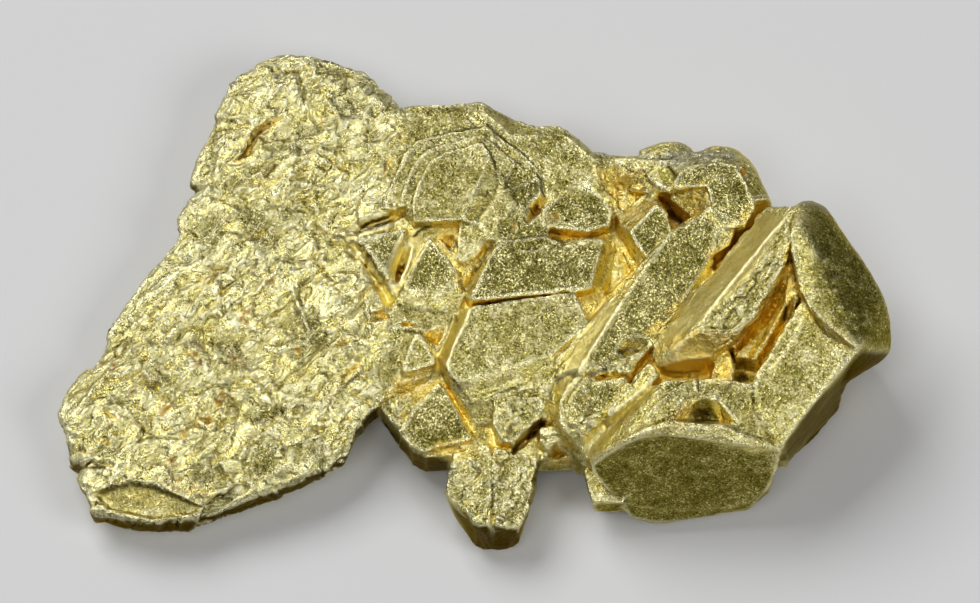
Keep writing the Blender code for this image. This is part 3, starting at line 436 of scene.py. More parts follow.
# Flat faces that are darker and more matte than the rest.
DULL_FACES = [
    [(-3.6, 1.95), (-2.4, 2.15), (-2.8, 1.05), (-2.9, 0.7), (-3.25, 1.2)],
    [(-1.52, 2.0), (-1.0, 1.35), (-0.66, 1.0), (-0.66, 0.7), (-1.0, 0.56), (-1.94, 0.4),
     (-2.3, 0.5), (-2.1, 0.9), (-1.8, 1.3)],
    [(0.7, 2.6), (0.62, 1.85), (0.3, 1.2), (-0.15, 0.1), (1.5, 0.38), (3.2, 0.5), (4.2, 0.9),
     (4.25, 1.3), (3.9, 1.8), (2.8, 1.75), (2.3, 2.3), (1.6, 2.5)],
    [(1.2, 3.1), (0.9, 2.5), (1.5, 2.4), (1.6, 2.9), (2.0, 3.7), (1.2, 4.3), (0.7, 4.0)],
    [(-1.2, -2.6), (-1.66, -3.1), (-2.0, -3.5), (-2.3, -4.0), (-2.0, -4.3), (-1.7, -4.45),
     (-0.77, -4.2), (-0.25, -4.1), (-0.3, -3.75), (-0.7, -3.05)],
    [(5.5, 2.9), (4.85, 2.2), (5.05, 1.75), (5.4, 1.3), (6.0, 2.1), (5.8, 2.75)],
    [(6.1, 3.55), (6.35, 4.08), (6.7, 4.22), (7.5, 4.32), (7.95, 4.2), (8.3, 3.6), (8.5, 3.0),
     (8.2, 2.5), (7.5, 2.4), (7.3, 3.0), (7.2, 3.62)],
    [(6.8, 2.7), (6.0, 2.1), (5.05, 0.6), (4.55, -0.05), (3.3, -2.0), (4.0, -1.9), (4.9, -1.6),
     (5.6, -0.8), (6.3, -0.2), (7.1, 0.9), (7.2, 1.6), (7.3, 2.4)],
    [(2.7, 3.3), (2.1, 2.85), (2.1, 2.45), (3.4, 2.3), (4.0, 2.5), (4.05, 2.9), (3.7, 3.3)],
    [(2.9, -2.9), (3.4, -2.5), (4.6, -2.5), (3.9, -3.4), (3.0, -3.6)],
    [(-11.7, -5.9), (-11.3, -5.76), (-10.7, -5.66), (-10.1, -5.72), (-9.4, -6.02), (-8.8, -6.3),
     (-9.0, -6.45), (-10.1, -6.62), (-11.3, -6.35)],
]

# Duller patches of the leaf, with soft ragged edges.
LEAF_PATCHES = [
    [(-9.3, -1.0), (-8.7, -1.0), (-8.6, -1.45), (-9.2, -1.4)],
    [(-8.1, -1.1), (-7.4, -1.2), (-7.1, -1.9), (-7.8, -2.1)],
    [(-7.2, -4.9), (-6.9, -4.4), (-6.5, -4.25), (-6.1, -4.7), (-6.1, -5.35), (-7.1, -5.5)],
    [(-5.5, -4.9), (-5.4, -4.3), (-4.9, -4.1), (-4.7, -4.6), (-4.8, -5.1)],
    [(-9.0, -5.0), (-8.3, -4.9), (-7.8, -5.5), (-8.4, -5.7), (-8.9, -5.5)],
    [(-10.6, -2.0), (-9.7, -2.1), (-9.3, -2.6), (-10.2, -2.6)],
    [(-7.4, 3.0), (-6.6, 2.9), (-6.3, 1.9), (-6.9, 1.6), (-7.3, 2.2)],
    [(-8.4, 2.7), (-8.0, 2.8), (-7.7, 2.1), (-8.2, 1.5), (-8.8, 2.0)],
    [(-4.5, 6.6), (-3.5, 6.3), (-3.4, 5.9), (-4.2, 5.9)],
    [(-6.4, 4.7), (-5.4, 5.5), (-5.0, 5.4), (-5.6, 4.8), (-6.3, 4.3)],
    [(-8.0, 3.6), (-7.2, 4.1), (-6.6, 4.3), (-6.8, 3.9), (-7.7, 3.4)],
    [(-6.3, 2.9), (-5.4, 3.0), (-5.6, 2.5), (-6.2, 2.4)],
    [(-7.4, -3.4), (-6.2, -3.2), (-5.9, -3.6), (-7.0, -3.7)],
    [(-3.7, 4.3), (-3.2, 4.6), (-3.0, 5.3), (-3.6, 5.0)],
    [(-5.9, -0.4), (-5.2, -0.2), (-4.6, -1.2), (-5.5, -1.6)],
    [(-12.0, -4.4), (-11.3, -4.2), (-11.2, -4.7), (-11.9, -4.8)],
]

# The big faces that look down and outwards, painted dark as shade.
SHADED_FACES = [
    [(3.56, -5.0), (3.98, -4.74), (4.5, -4.36), (5.06, -4.18), (5.8, -4.1), (6.5, -4.16),
     (7.4, -4.34), (8.6, -4.66), (9.3, -4.6), (9.2, -5.0), (9.1, -5.38), (8.95, -5.75),
     (8.55, -6.15), (8.0, -6.34), (6.75, -6.44), (5.5, -6.44), (4.6, -6.22), (4.1, -5.8),
     (3.64, -5.3)],
    [(3.4, -6.2), (4.6, -6.22), (5.5, -6.4), (6.75, -6.4), (8.0, -6.3), (8.55, -6.1), (9.0, -5.7),
     (9.3, -5.9), (8.5, -6.9), (4.6, -7.2), (3.4, -6.8)],
    [(-0.85, -6.25), (-0.3, -6.6), (-0.05, -7.05), (0.4, -6.95), (1.0, -7.35), (1.3, -7.9),
     (-0.3, -8.1), (-1.2, -6.6)],
    [(11.8, -1.55), (11.1, -2.4), (10.2, -3.4), (9.55, -4.35), (9.3, -4.9), (10.6, -5.0), (13.2, -1.9)],
    [(-11.9, -6.1), (-11.4, -6.5), (-10.1, -6.8), (-8.9, -6.66), (-7.0, -6.0), (-5.4, -5.4),
     (-4.0, -4.9), (-3.6, -4.2), (-3.2, -4.6), (-5.0, -6.4), (-8.0, -7.4), (-12.4, -7.3)],
]

# The cap's side that is painted dark as shade, which fades in softly.
SHADED_CAP_SIDE = [
    (10.2, 1.9), (10.5, 0.8), (10.5, 0.0), (10.85, -0.6), (11.4, -1.1), (12.0, -1.6),
    (13.6, -1.7), (13.8, -0.5), (13.6, 0.8), (12.8, 1.9), (11.9, 2.6), (10.9, 3.6), (10.3, 2.8),
]

# Steep walls at the leg's foot, under the left block and beside the side plate, painted dark as shade.
SHADED_WALLS = [
    [(-1.4, -6.0), (0.4, -6.9), (1.7, -6.4), (1.7, -8.3), (-1.4, -8.3)],
    [(-3.3, -3.2), (-2.0, -4.6), (-0.9, -4.9), (-0.9, -5.6), (-2.4, -5.6), (-3.9, -3.6)],
    [(11.9, -1.5), (11.2, -2.35), (10.3, -3.35), (9.65, -4.3), (9.4, -4.9), (10.6, -5.0), (13.2, -1.6)],
]

# Pits and a side facet painted dark olive as shade, with no amber in them.
SHADED_PITS = [
    [(6.75, -3.0), (7.2, -2.95), (7.45, -3.7), (6.75, -3.8)],
    [(7.9, -1.82), (8.6, -1.86), (8.65, -2.45), (7.95, -2.45)],
    [(9.45, -0.1), (9.65, -0.2), (9.55, -0.65), (9.4, -0.55)],
    [(5.62, 3.5), (5.66, 4.3), (6.2, 4.15), (6.0, 3.6)],
]

# Small facets and spots with a painted highlight: place and radius.
HIGHLIGHT_SPOTS = [
    (3.4, 3.65, 0.24), (6.15, 2.9, 0.1), (8.2, -1.84, 0.14), (8.38, -1.86, 0.12), (4.4, 1.7, 0.12),
    (2.0, -4.05, 0.14), (2.2, -3.95, 0.1), (2.3, -4.15, 0.1), (0.9, -3.2, 0.14),
    (1.3, -5.6, 0.35), (0.9, -6.3, 0.3), (-0.3, -5.5, 0.25),
    (1.35, -5.2, 0.2), (-0.45, -5.7, 0.14), (-6.1, 5.9, 0.22), (-5.5, 6.2, 0.16), (9.6, 2.15, 0.2),
    (9.75, 1.85, 0.14), (6.8, -2.5, 0.2), (7.4, -2.9, 0.2), (-2.2, 3.95, 0.1), (1.95, 3.1, 0.14),
]

# Small raised grains: place, radius and height.
GRAINS = [
    (11.0, 1.72, 0.12, 0.05), (11.1, 0.75, 0.13, 0.06), (11.07, 0.4, 0.1, 0.05),
    (11.65, -0.2, 0.14, 0.05), (11.3, 1.3, 0.08, 0.04), (11.9, 0.5, 0.1, 0.04),
    (10.8, 1.35, 0.09, 0.05), (12.0, -0.6, 0.12, 0.05), (11.5, 0.9, 0.07, 0.04),
    (12.2, 0.2, 0.1, 0.04), (11.2, -0.1, 0.08, 0.04), (2.05, -4.05, 0.16, 0.1),
    (2.3, -3.95, 0.14, 0.1), (2.35, -4.25, 0.14, 0.1), (2.1, -4.4, 0.12, 0.08),
    (1.75, -4.75, 0.14, 0.08), (1.5, -4.9, 0.12, 0.06), (1.4, 1.6, 0.07, 0.04),
    (-9.55, -4.95, 0.12, 0.06), (-10.75, -2.8, 0.1, 0.05), (-4.2, 0.1, 0.12, 0.05),
]

# Deeply crumpled parts: outline and height.
CRUMPLED = [
    ([(-1.2, -5.2), (-0.2, -4.8), (0.4, -5.0), (1.0, -4.7), (2.0, -4.9), (1.9, -5.6), (1.6, -6.6),
      (1.2, -7.1), (0.4, -6.9), (-0.1, -6.9), (-0.4, -6.5), (-1.0, -6.1)], 0.15),
    ([(0.9, -2.6), (2.2, -2.5), (2.3, -3.4), (1.6, -4.2), (0.9, -4.2), (0.6, -3.5)], 0.1),
    ([(-3.3, -2.2), (-2.6, -2.2), (-1.9, -3.2), (-2.3, -4.2), (-3.0, -3.6)], 0.07),
    ([(2.8, -2.3), (3.5, -1.8), (5.1, -1.5), (4.2, -3.1), (3.3, -4.3), (2.8, -3.8)], 0.14),
    ([(-4.2, 0.6), (-2.9, 0.4), (-2.6, -0.8), (-2.2, -2.0), (-3.4, -2.6), (-4.4, -1.2)], 0.06),
    ([(3.4, 4.2), (5.2, 4.3), (5.4, 3.5), (4.4, 2.7), (3.9, 3.2)], 0.09),
    ([(5.8, -2.5), (7.0, -2.3), (8.6, -2.5), (8.4, -3.6), (7.6, -2.9), (6.6, -2.95), (6.0, -3.5)],
     0.05),
    ([(1.8, -4.9), (2.0, -3.9), (2.7, -3.9), (2.6, -4.6)], 0.06),
    ([(9.75, 2.0), (9.3, 0.4), (8.6, -0.5), (7.6, -1.2), (6.7, -1.15), (8.2, 0.72)], 0.09),
]

# Grey, cooler faces along the back and at the edge of the cap.
GREY_FACES = [
    [(5.7, 4.3), (6.2, 4.2), (6.7, 4.38), (7.6, 4.46), (8.1, 4.4), (8.0, 4.75), (6.8, 4.8), (5.9, 4.7)],
    [(3.7, 4.6), (5.2, 4.5), (5.6, 4.45), (5.4, 4.75), (3.8, 4.9)],
    [(9.7, 3.0), (10.3, 3.05), (11.0, 2.8), (11.0, 3.3), (10.2, 3.6), (9.6, 3.4)],
    [(11.9, -1.6), (12.4, -1.5), (13.1, -1.6), (12.9, -2.2), (12.0, -2.3)],
    [(-2.0, -4.85), (-0.8, -5.02), (-0.8, -5.4), (-2.2, -5.3)],
    [(5.3, 4.95), (6.0, 5.02), (6.6, 4.9), (6.6, 5.4), (5.2, 5.3)],
]

# Parts that are worn or grown rounder than the rest: how much, and their outline.
ROUND_PARTS = [
    (1.0, [(9.75, 3.2), (9.9, 2.2), (10.1, 1.2), (10.25, 0.4), (10.6, -0.1), (11.2, -0.6), (11.9, -1.25),
     (11.4, -2.6), (13.4, -2.6), (13.4, 2.0), (11.5, 3.8), (9.6, 3.8)]),
    (0.3, [(-1.3, -5.1), (-0.2, -4.9), (0.35, -5.2), (0.6, -5.2), (1.2, -4.95), (2.2, -5.3),
     (2.2, -8.2), (-1.3, -8.2)]),
    (0.8, [(6.9, 4.9), (8.0, 4.6), (8.45, 4.1), (8.9, 3.3), (9.3, 3.1), (9.3, 5.4), (7.0, 5.6)]),
    (0.7, [(4.6, 4.9), (5.6, 4.7), (6.6, 4.8), (7.0, 5.6), (4.6, 5.6)]),
]

# Cracks and grooves: path, width, depth, and how much amber stain gathers there.
GROOVES = [
    ([(-7.48, 4.44), (-7.22, 4.61), (-7.11, 4.93), (-6.96, 5.19), (-6.75, 5.45), (-6.28, 5.68)],
     0.09, 0.2, 1.0),
    ([(-6.7, 3.81), (-6.49, 4.09), (-6.28, 4.28)], 0.06, 0.12, 0.6),
    ([(-8.39, 0.58), (-8.2, 0.8), (-8.16, 1.0)], 0.05, 0.12, 0.8),
    ([(-8.7, 0.66), (-8.64, 0.88)], 0.04, 0.08, 0.7),
    ([(-4.23, -2.37), (-4.0, -2.1), (-3.76, -1.93)], 0.07, 0.16, 0.8),
    ([(-10.62, -6.82), (-10.34, -6.6)], 0.04, 0.1, 0.1),
    ([(-8.73, -0.4), (-8.2, 0.05), (-7.74, 0.56), (-7.27, 0.92), (-6.9, 0.95)], 0.07, 0.08, 0.0),
    ([(-10.0, -2.1), (-9.75, -2.4), (-9.5, -2.5)], 0.06, 0.08, 0.0),
    ([(-8.4, -4.85), (-8.2, -5.0), (-7.95, -5.3)], 0.07, 0.08, 0.0),
    ([(-6.9, -3.62), (-6.5, -3.42), (-6.0, -3.5)], 0.08, 0.08, 0.0),
    ([(-5.1, 1.5), (-4.8, 0.95), (-4.4, 0.5)], 0.08, 0.08, 0.2),
    ([(-3.6, 1.2), (-3.4, 1.02)], 0.05, 0.1, 0.7),
    ([(-11.65, -3.35), (-11.5, -3.5), (-11.25, -3.65)], 0.07, 0.06, 0.9),
    ([(-11.9, -4.3), (-11.65, -4.2), (-11.5, -4.35)], 0.05, 0.06, 0.8),
    ([(-8.9, -1.3), (-8.5, -1.15), (-8.1, -1.25), (-7.6, -1.1)], 0.1, 0.08, 0.0),
    ([(-6.6, -1.45), (-6.2, -1.25), (-5.9, -1.3)], 0.06, 0.06, 0.0),
    ([(-7.6, -0.75), (-6.9, -0.9), (-6.5, -0.7)], 0.06, 0.05, 0.0),
    ([(0.5, 4.95), (1.2, 4.45), (1.9, 4.0)], 0.06, 0.05, 0.0),
    ([(0.75, 4.95), (1.4, 4.5), (2.1, 4.1)], 0.05, 0.05, 0.0),
    ([(-0.35, 5.85), (0.05, 5.45)], 0.06, 0.06, 0.0),
    ([(1.68, 2.78), (1.9, 3.07)], 0.05, 0.25, 0.4),
    ([(-2.35, 1.15), (-2.52, 0.78)], 0.045, 0.25, 0.3),
    ([(-0.62, -0.14), (-0.6, -0.4)], 0.035, 0.1, 0.8),
    ([(-2.45, 5.25), (-2.4, 5.1)], 0.08, 0.06, 0.9),
    ([(-2.75, 4.5), (-2.95, 4.1)], 0.06, 0.06, 0.9),
    ([(-4.35, -1.28), (-4.0, -1.15)], 0.07, 0.05, 0.9),
    ([(9.95, 0.45), (10.1, 0.05), (10.45, -0.42), (10.95, -0.85), (11.55, -1.35)], 0.06, 0.06, 1.0),
]

# Narrow slits at the bottoms of trenches and hollows, painted nearly black as shade: path, width and
# strength.
SHADED_SLITS = [
    ([(-4.14, 2.05), (-3.6, 2.25), (-3.1, 2.4), (-2.67, 2.56)], 0.07, 0.9),
    ([(-2.02, 2.07), (-1.75, 2.28), (-1.46, 2.4)], 0.05, 1.0),
    ([(-0.98, 1.85), (-0.82, 1.6), (-0.66, 2.0)], 0.07, 0.6),
    ([(0.55, 1.97), (0.36, 1.75), (0.1, 1.3), (-0.15, 0.85)], 0.08, 0.75),
    ([(-0.2, -0.07), (0.6, 0.02), (1.35, 0.12)], 0.035, 1.0),
    ([(2.1, 0.25), (3.0, 0.3)], 0.03, 0.5),
    ([(-2.54, 0.84), (-2.4, 1.0), (-2.28, 1.2)], 0.05, 1.0),
    ([(-3.45, 1.03), (-3.24, 0.77)], 0.05, 0.7),
    ([(-2.37, -0.9), (-2.1, -0.88), (-1.77, -0.95)], 0.04, 0.9),
    ([(-1.5, -1.15), (-1.3, -1.5), (-1.0, -1.2)], 0.06, 0.4),
    ([(-0.67, -0.36), (-0.66, -0.6)], 0.04, 0.8),
    ([(-1.0, -2.04), (-0.6, -2.6), (-0.15, -3.16)], 0.05, 0.7),
    ([(-1.0, -2.2), (-1.7, -2.45), (-2.5, -2.62)], 0.05, 0.45),
    ([(-4.16, -2.6), (-3.9, -2.38), (-3.66, -2.16)], 0.07, 0.8),
    ([(1.75, 2.83), (1.93, 3.03)], 0.05, 1.0),
    ([(2.27, 1.98), (2.6, 2.02)], 0.06, 0.6),
    ([(4.1, 3.15), (4.28, 2.75), (4.36, 2.35)], 0.05, 0.5),
    ([(2.72, 3.77), (3.0, 3.84)], 0.04, 0.8),
    ([(5.95, 2.95), (6.12, 2.65), (6.4, 2.45)], 0.16, 0.85),
    ([(9.75, 1.55), (9.84, 1.0), (9.86, 0.45)], 0.04, 0.8),
    ([(9.6, -0.05), (9.5, -0.6)], 0.05, 1.0),
    ([(8.15, -2.2), (8.35, -2.35)], 0.16, 0.9),
    ([(6.6, -3.5), (6.85, -3.4), (7.15, -3.5)], 0.22, 0.85),
    ([(5.7, -2.1), (6.4, -2.2), (6.9, -2.12)], 0.06, 0.6),
    ([(1.0, -4.68), (1.5, -4.22), (2.12, -3.68)], 0.1, 0.85),
    ([(2.4, -4.75), (2.75, -4.7)], 0.12, 0.5),
    ([(0.43, -5.33), (0.45, -6.0), (0.48, -6.6)], 0.05, 0.7),
    ([(-7.5, 4.45), (-7.15, 4.85), (-6.96, 5.19), (-6.7, 5.5), (-6.4, 5.62)], 0.055, 0.8),
    ([(-6.68, 3.85), (-6.49, 4.09), (-6.3, 4.28)], 0.05, 0.8),
    ([(-8.3, 0.62), (-8.18, 0.85), (-8.16, 1.02)], 0.045, 0.8),
    ([(-2.5, 5.3), (-2.4, 5.1)], 0.06, 0.6),
    ([(-2.85, 4.4), (-2.97, 4.1)], 0.05, 0.6),
    ([(3.4, -2.3), (3.75, -2.1), (4.1, -2.02)], 0.08, 0.8),
    ([(3.55, -1.98), (4.0, -1.86)], 0.05, 0.6),
    ([(4.35, -1.52), (4.7, -1.42), (5.05, -1.46)], 0.09, 0.8),
    ([(5.5, -1.6), (5.9, -2.2)], 0.05, 0.5),
    ([(-11.55, -5.14), (-12.2, -5.12)], 0.07, 0.8),
]

# Thin raised growth lines: path, width and height.
RAISED_LINES = [
    ([(-2.35, 2.95), (-2.2, 3.7), (-1.8, 4.5), (-1.2, 4.85), (-0.1, 5.12), (0.3, 5.25),
      (0.9, 4.85)], 0.035, 0.022),
    ([(-2.75, 3.4), (-2.35, 4.3), (-1.95, 4.85), (-1.2, 5.0), (0.0, 5.3)], 0.035, 0.02),
    ([(-3.3, 3.5), (-2.9, 4.3), (-2.5, 5.0), (-2.0, 5.4)], 0.04, 0.02),
    ([(0.75, 3.5), (0.35, 3.0), (0.05, 2.45)], 0.04, 0.04),
    ([(2.4, 2.55), (2.9, 2.45), (3.2, 2.55), (3.4, 2.68)], 0.04, 0.03),
    ([(1.3, 1.58), (1.8, 1.6), (2.15, 1.78)], 0.04, 0.03),
    ([(5.3, 0.1), (5.6, 0.18), (5.85, 0.2)], 0.04, 0.04),
    ([(9.55, 1.45), (9.35, 0.8), (9.0, 0.15), (8.5, -0.42), (7.95, -0.85), (7.2, -0.97)], 0.05, 0.04),
    ([(10.2, -0.3), (9.83, -1.1), (9.4, -1.75), (8.85, -2.4)], 0.06, 0.05),
    ([(11.0, -1.35), (11.35, -1.75), (10.6, -2.75), (9.8, -3.85)], 0.05, 0.03),
    ([(5.9, -2.9), (5.45, -3.3), (5.2, -3.7)], 0.05, 0.04),
    ([(3.4, -4.97), (4.2, -4.5), (4.9, -4.12), (5.69, -3.83), (6.94, -3.9), (8.03, -4.28), (9.28, -4.44)],
     0.14, 0.045),
    ([(6.6, -2.45), (6.1, -2.75), (5.7, -3.2)], 0.05, 0.04),
    ([(-11.95, -5.85), (-11.44, -5.68), (-10.76, -5.55), (-10.08, -5.63), (-9.35, -5.94),
      (-8.57, -6.32)], 0.05, 0.04),
    ([(-11.7, -6.35), (-10.9, -6.62), (-10.1, -6.76), (-8.9, -6.6), (-8.3, -6.4)], 0.05, 0.04),
    ([(0.5, -2.95), (0.45, -3.4), (0.55, -3.75), (0.7, -4.25)], 0.04, 0.03),
]

# Folds and creases of the leaf: path, width, and height above or below it.
FOLDS = [
    ([(-8.4, 3.5), (-7.5, 3.83), (-6.65, 4.26), (-5.68, 5.17), (-5.2, 5.38)], 0.2, -0.08),
    ([(-5.68, 7.5), (-5.45, 6.7), (-5.4, 6.1)], 0.09, -0.06),
    ([(-3.97, 7.04), (-4.2, 6.6)], 0.05, -0.07),
    ([(-4.93, 4.69), (-4.4, 4.3), (-3.95, 4.05)], 0.08, -0.07),
    ([(-4.9, 4.5), (-4.35, 4.1)], 0.07, 0.05),
    ([(-7.1, 2.9), (-6.75, 2.4), (-6.6, 1.8)], 0.18, -0.06),
    ([(-8.3, 2.0), (-8.05, 2.5), (-7.6, 2.75)], 0.08, 0.06),
    ([(-8.46, 1.2), (-7.9, 1.05), (-7.6, 0.8)], 0.06, -0.07),
    ([(-10.2, -1.8), (-9.3, -0.6), (-8.4, 0.4)], 0.1, 0.06),
    ([(-9.2, -0.75), (-8.6, 0.2), (-8.0, 0.75)], 0.08, 0.05),
    ([(-10.9, -1.4), (-10.2, -0.2), (-9.5, 0.6)], 0.08, 0.05),
    ([(-11.2, -1.9), (-10.6, -0.7), (-9.9, 0.3)], 0.07, -0.05),
    ([(-5.86, 0.6), (-5.5, -0.3), (-5.25, -0.9), (-5.3, -1.4)], 0.08, 0.07),
    ([(-6.5, -3.0), (-5.9, -3.25), (-5.2, -3.25), (-4.6, -3.0), (-4.3, -2.6)], 0.11, 0.08),
    ([(-6.3, -2.6), (-5.7, -2.85), (-5.1, -2.75)], 0.09, -0.06),
    ([(-7.2, -5.45), (-7.25, -4.9), (-7.0, -4.4), (-6.6, -4.15), (-6.2, -4.35), (-5.9, -4.9),
      (-5.95, -5.3)], 0.07, -0.06),
    ([(-5.6, -5.2), (-5.55, -4.5), (-5.1, -4.0), (-4.6, -3.95)], 0.07, -0.06),
    ([(-4.5, -5.0), (-4.55, -4.4), (-4.2, -3.8)], 0.06, -0.05),
    ([(-11.75, -3.5), (-11.5, -3.25), (-11.15, -3.3), (-11.0, -3.55)], 0.06, 0.05),
    ([(-11.5, -5.04), (-10.8, -4.55), (-10.0, -4.35), (-9.0, -4.35)], 0.1, 0.06),
    ([(-8.9, -6.0), (-8.2, -5.9), (-7.6, -5.6), (-7.3, -5.3)], 0.08, 0.05),
    ([(-6.9, -1.3), (-6.2, -1.5), (-5.7, -1.2)], 0.1, 0.06),
    ([(-8.6, -2.5), (-7.9, -2.6), (-7.2, -2.3), (-6.6, -2.4)], 0.09, -0.06),
    ([(-7.0, 0.2), (-6.3, 0.9), (-5.9, 1.7)], 0.1, 0.07),
    ([(-5.2, 1.9), (-4.9, 2.6), (-4.9, 3.2)], 0.12, -0.06),
    ([(-6.5, 3.4), (-5.7, 3.7), (-5.0, 3.6)], 0.14, 0.08),
    ([(-6.1, 6.9), (-6.6, 6.3), (-7.1, 6.0)], 0.1, 0.05),
    ([(-4.9, 6.4), (-4.4, 6.0), (-4.2, 5.3)], 0.1, 0.06),
    ([(-12.0, -5.15), (-11.6, -5.05), (-11.2, -5.1)], 0.06, -0.1),
    ([(-9.3, -3.9), (-8.7, -3.6), (-8.1, -3.6), (-7.8, -3.9)], 0.09, -0.06),
]

# Rust and dirt: place and radius.
RUST_SPOTS = [
    (-10.76, -2.8, 0.14), (-9.67, -3.3, 0.13), (-9.75, -3.4, 0.1), (-7.5, -1.84, 0.06),
    (-11.28, -1.63, 0.08), (-9.5, -5.05, 0.09), (-9.6, -4.85, 0.12), (-6.46, 0.66, 0.1),
    (-3.9, 1.48, 0.12), (-4.9, 5.8, 0.07), (-10.6, -3.68, 0.08), (-5.7, -1.85, 0.08),
    (-8.55, -1.35, 0.06), (-9.6, -5.6, 0.1), (8.3, 4.1, 0.16), (-8.75, -1.65, 0.14),
    (-7.9, -2.9, 0.1), (1.1, 2.42, 0.07), (-10.3, -2.35, 0.08), (-7.2, -0.5, 0.12),
]

# Places sprinkled with small brown specks: place and radius.
SPECKLED = [
    (-7.16, -0.52, 0.45), (-8.75, -1.65, 0.4), (-7.51, -1.83, 0.3), (-7.92, -3.08, 0.45),
    (-8.54, -3.65, 0.4), (-9.1, -4.0, 0.35), (-10.1, -4.06, 0.3), (-9.72, -3.29, 0.3),
    (-5.7, -1.5, 0.25), (-11.5, -1.97, 0.3), (-9.57, -4.94, 0.3), (-6.43, 0.75, 0.3),
    (-3.97, -3.4, 0.3), (-10.3, -3.7, 0.3), (2.4, 2.6, 0.25), (-9.3, -5.55, 0.3),
]

# Broad slopes and hollow floors with a warm amber tint.
AMBER_FIELDS = [
    [(-9.0, -5.7), (-8.2, -5.85), (-8.2, -6.0), (-8.6, -6.05), (-9.1, -5.95)],
    [(4.05, 2.3), (4.5, 1.4), (4.6, 0.8), (3.4, 0.3), (3.5, -0.3), (3.9, 0.0), (4.5, 0.2), (5.2, 1.1),
     (4.7, 1.7)],
    [(3.6, 4.2), (5.2, 4.2), (5.2, 3.5), (4.2, 2.8), (4.1, 3.4)],
    [(5.35, -1.95), (5.5, -1.35), (6.1, -0.95), (6.9, -0.85), (7.4, -0.9), (8.1, -0.9),
     (7.9, -1.5), (7.95, -2.4), (7.3, -2.45), (6.6, -2.3), (5.7, -2.35)],
    [(5.8, 3.1), (6.1, 3.6), (7.15, 3.75), (7.2, 3.1), (6.6, 2.6), (6.2, 2.3)],
    [(7.0, 0.6), (7.2, 1.7), (7.6, 1.8), (8.0, 2.6), (8.6, 3.1), (8.7, 2.8), (7.9, 1.9), (7.5, 1.1),
     (7.25, 0.5)],
    [(5.9, -3.75), (6.1, -3.35), (6.5, -3.05), (6.85, -3.0), (6.7, -3.6), (6.4, -3.85)],
    [(-1.5, -4.38), (-0.2, -4.22), (-0.1, -4.75), (-0.8, -4.8), (-1.5, -4.78)],
    [(2.25, -4.4), (2.85, -4.3), (2.95, -5.0), (2.3, -5.05)],
    [(5.2, -0.9), (5.9, -0.3), (6.5, 0.3), (6.3, -0.3), (5.7, -1.1)],
    [(9.7, 1.5), (9.9, 0.6), (9.5, -0.9), (8.6, -2.3), (7.5, -2.3), (7.5, -1.4), (8.6, -0.6),
     (9.2, 0.1), (9.45, 0.8)],
    [(-2.6, -2.35), (-1.35, -2.0), (-1.15, -2.4), (-1.7, -2.95), (-2.8, -2.95)],
    [(-1.3, 2.3), (-0.6, 2.45), (-0.6, 2.0), (-0.9, 1.45), (-1.3, 1.85)],
    [(-3.5, -0.65), (-2.95, -0.05), (-2.7, -0.55)],
    [(-0.7, 1.1), (-0.3, 1.05), (0.0, 1.4), (-0.3, 0.6), (-0.55, 0.4), (-0.7, 0.7)],
    [(-0.95, -0.72), (-1.3, -1.55), (-1.75, -0.95)],
]

# The smooth lens-shaped facet at the leaf's lower left tip.
LENS_FACET = [
    (-11.88, -5.95), (-11.44, -5.76), (-10.76, -5.62), (-10.08, -5.7), (-9.35, -6.0),
    (-8.57, -6.36), (-8.89, -6.53), (-10.1, -6.7), (-11.44, -6.42),
]

# Here the leaf and the middle have grown into one, so their step is smoothed away.
MERGED = [(-4.7, 6.4), (-2.9, 6.6), (-2.9, 3.3), (-3.6, 3.0), (-4.6, 3.0)]

# Narrow slopes that are smooth and pale.
SMOOTH_BANDS = [
    [(3.9, 0.12), (4.5, -0.05), (3.7, -1.2), (2.85, -2.85), (2.3, -2.7), (3.0, -1.3)],
    [(-0.42, 0.1), (-0.1, -0.03), (-0.55, -1.1), (-1.0, -2.2), (-1.42, -1.97), (-0.95, -0.9)],
    [(5.2, -2.5), (5.6, -2.45), (4.7, -3.5), (3.45, -4.75), (3.3, -4.35), (4.3, -3.3)],
    [(5.45, -1.95), (6.1, -1.2), (7.0, -1.05), (7.3, -1.4), (7.2, -2.4), (6.6, -2.3), (5.7, -2.35)],
    [(8.74, 2.9), (9.6, 2.6), (8.5, 1.0), (7.4, -0.2), (5.97, -1.3), (5.5, -1.45), (6.4, 0.0),
     (7.85, 1.75)],
    [(-4.2, 1.75), (-3.2, 0.4), (-2.8, -0.3), (-2.75, 0.2), (-3.4, 1.2), (-3.9, 1.95)],
    [(-4.2, 2.0), (-3.2, 2.1), (-2.5, 2.5), (-2.55, 2.9), (-3.4, 2.75), (-4.0, 2.35)],
]

# The slender crystal with smooth sides, to the right of the leaf.
SPINDLE_SMOOTH = [(-1.9, 2.3), (-2.4, 2.0), (-2.85, 1.0), (-2.9, 0.3), (-2.4, 0.3), (-1.7, 1.7)]

# Finely streaked faces: outline, the streaks' direction in degrees, their size and height.
STREAKED_FACES = [
    ([(9.6, 1.6), (9.4, 0.8), (9.1, 0.2), (8.6, -0.4), (8.2, -0.9), (6.5, -1.25), (6.8, -0.9),
      (7.3, -0.1), (8.0, 0.6), (8.6, 1.5), (9.4, 2.4)], 50.0, 0.16, 0.05),
    ([(5.3, -3.3), (5.8, -2.45), (6.9, -2.35), (8.0, -2.5), (7.3, -3.0), (6.2, -3.3),
      (5.6, -3.8)], 42.0, 0.2, 0.06),
    ([(-0.7, -2.45), (2.3, -1.65), (2.9, -1.2), (2.5, -2.1), (2.0, -3.4), (0.5, -3.6),
      (-0.1, -3.7)], 22.0, 0.22, 0.05),
    ([(3.4, -2.0), (4.9, -1.9), (4.2, -3.1), (3.3, -4.4), (2.6, -3.6), (2.7, -2.9)], 48.0, 0.2, 0.06),
    ([(5.6, 4.3), (6.3, 4.35), (7.8, 4.45), (8.0, 4.8), (6.8, 4.85), (5.8, 4.75)], -6.0, 0.1, 0.05),
]


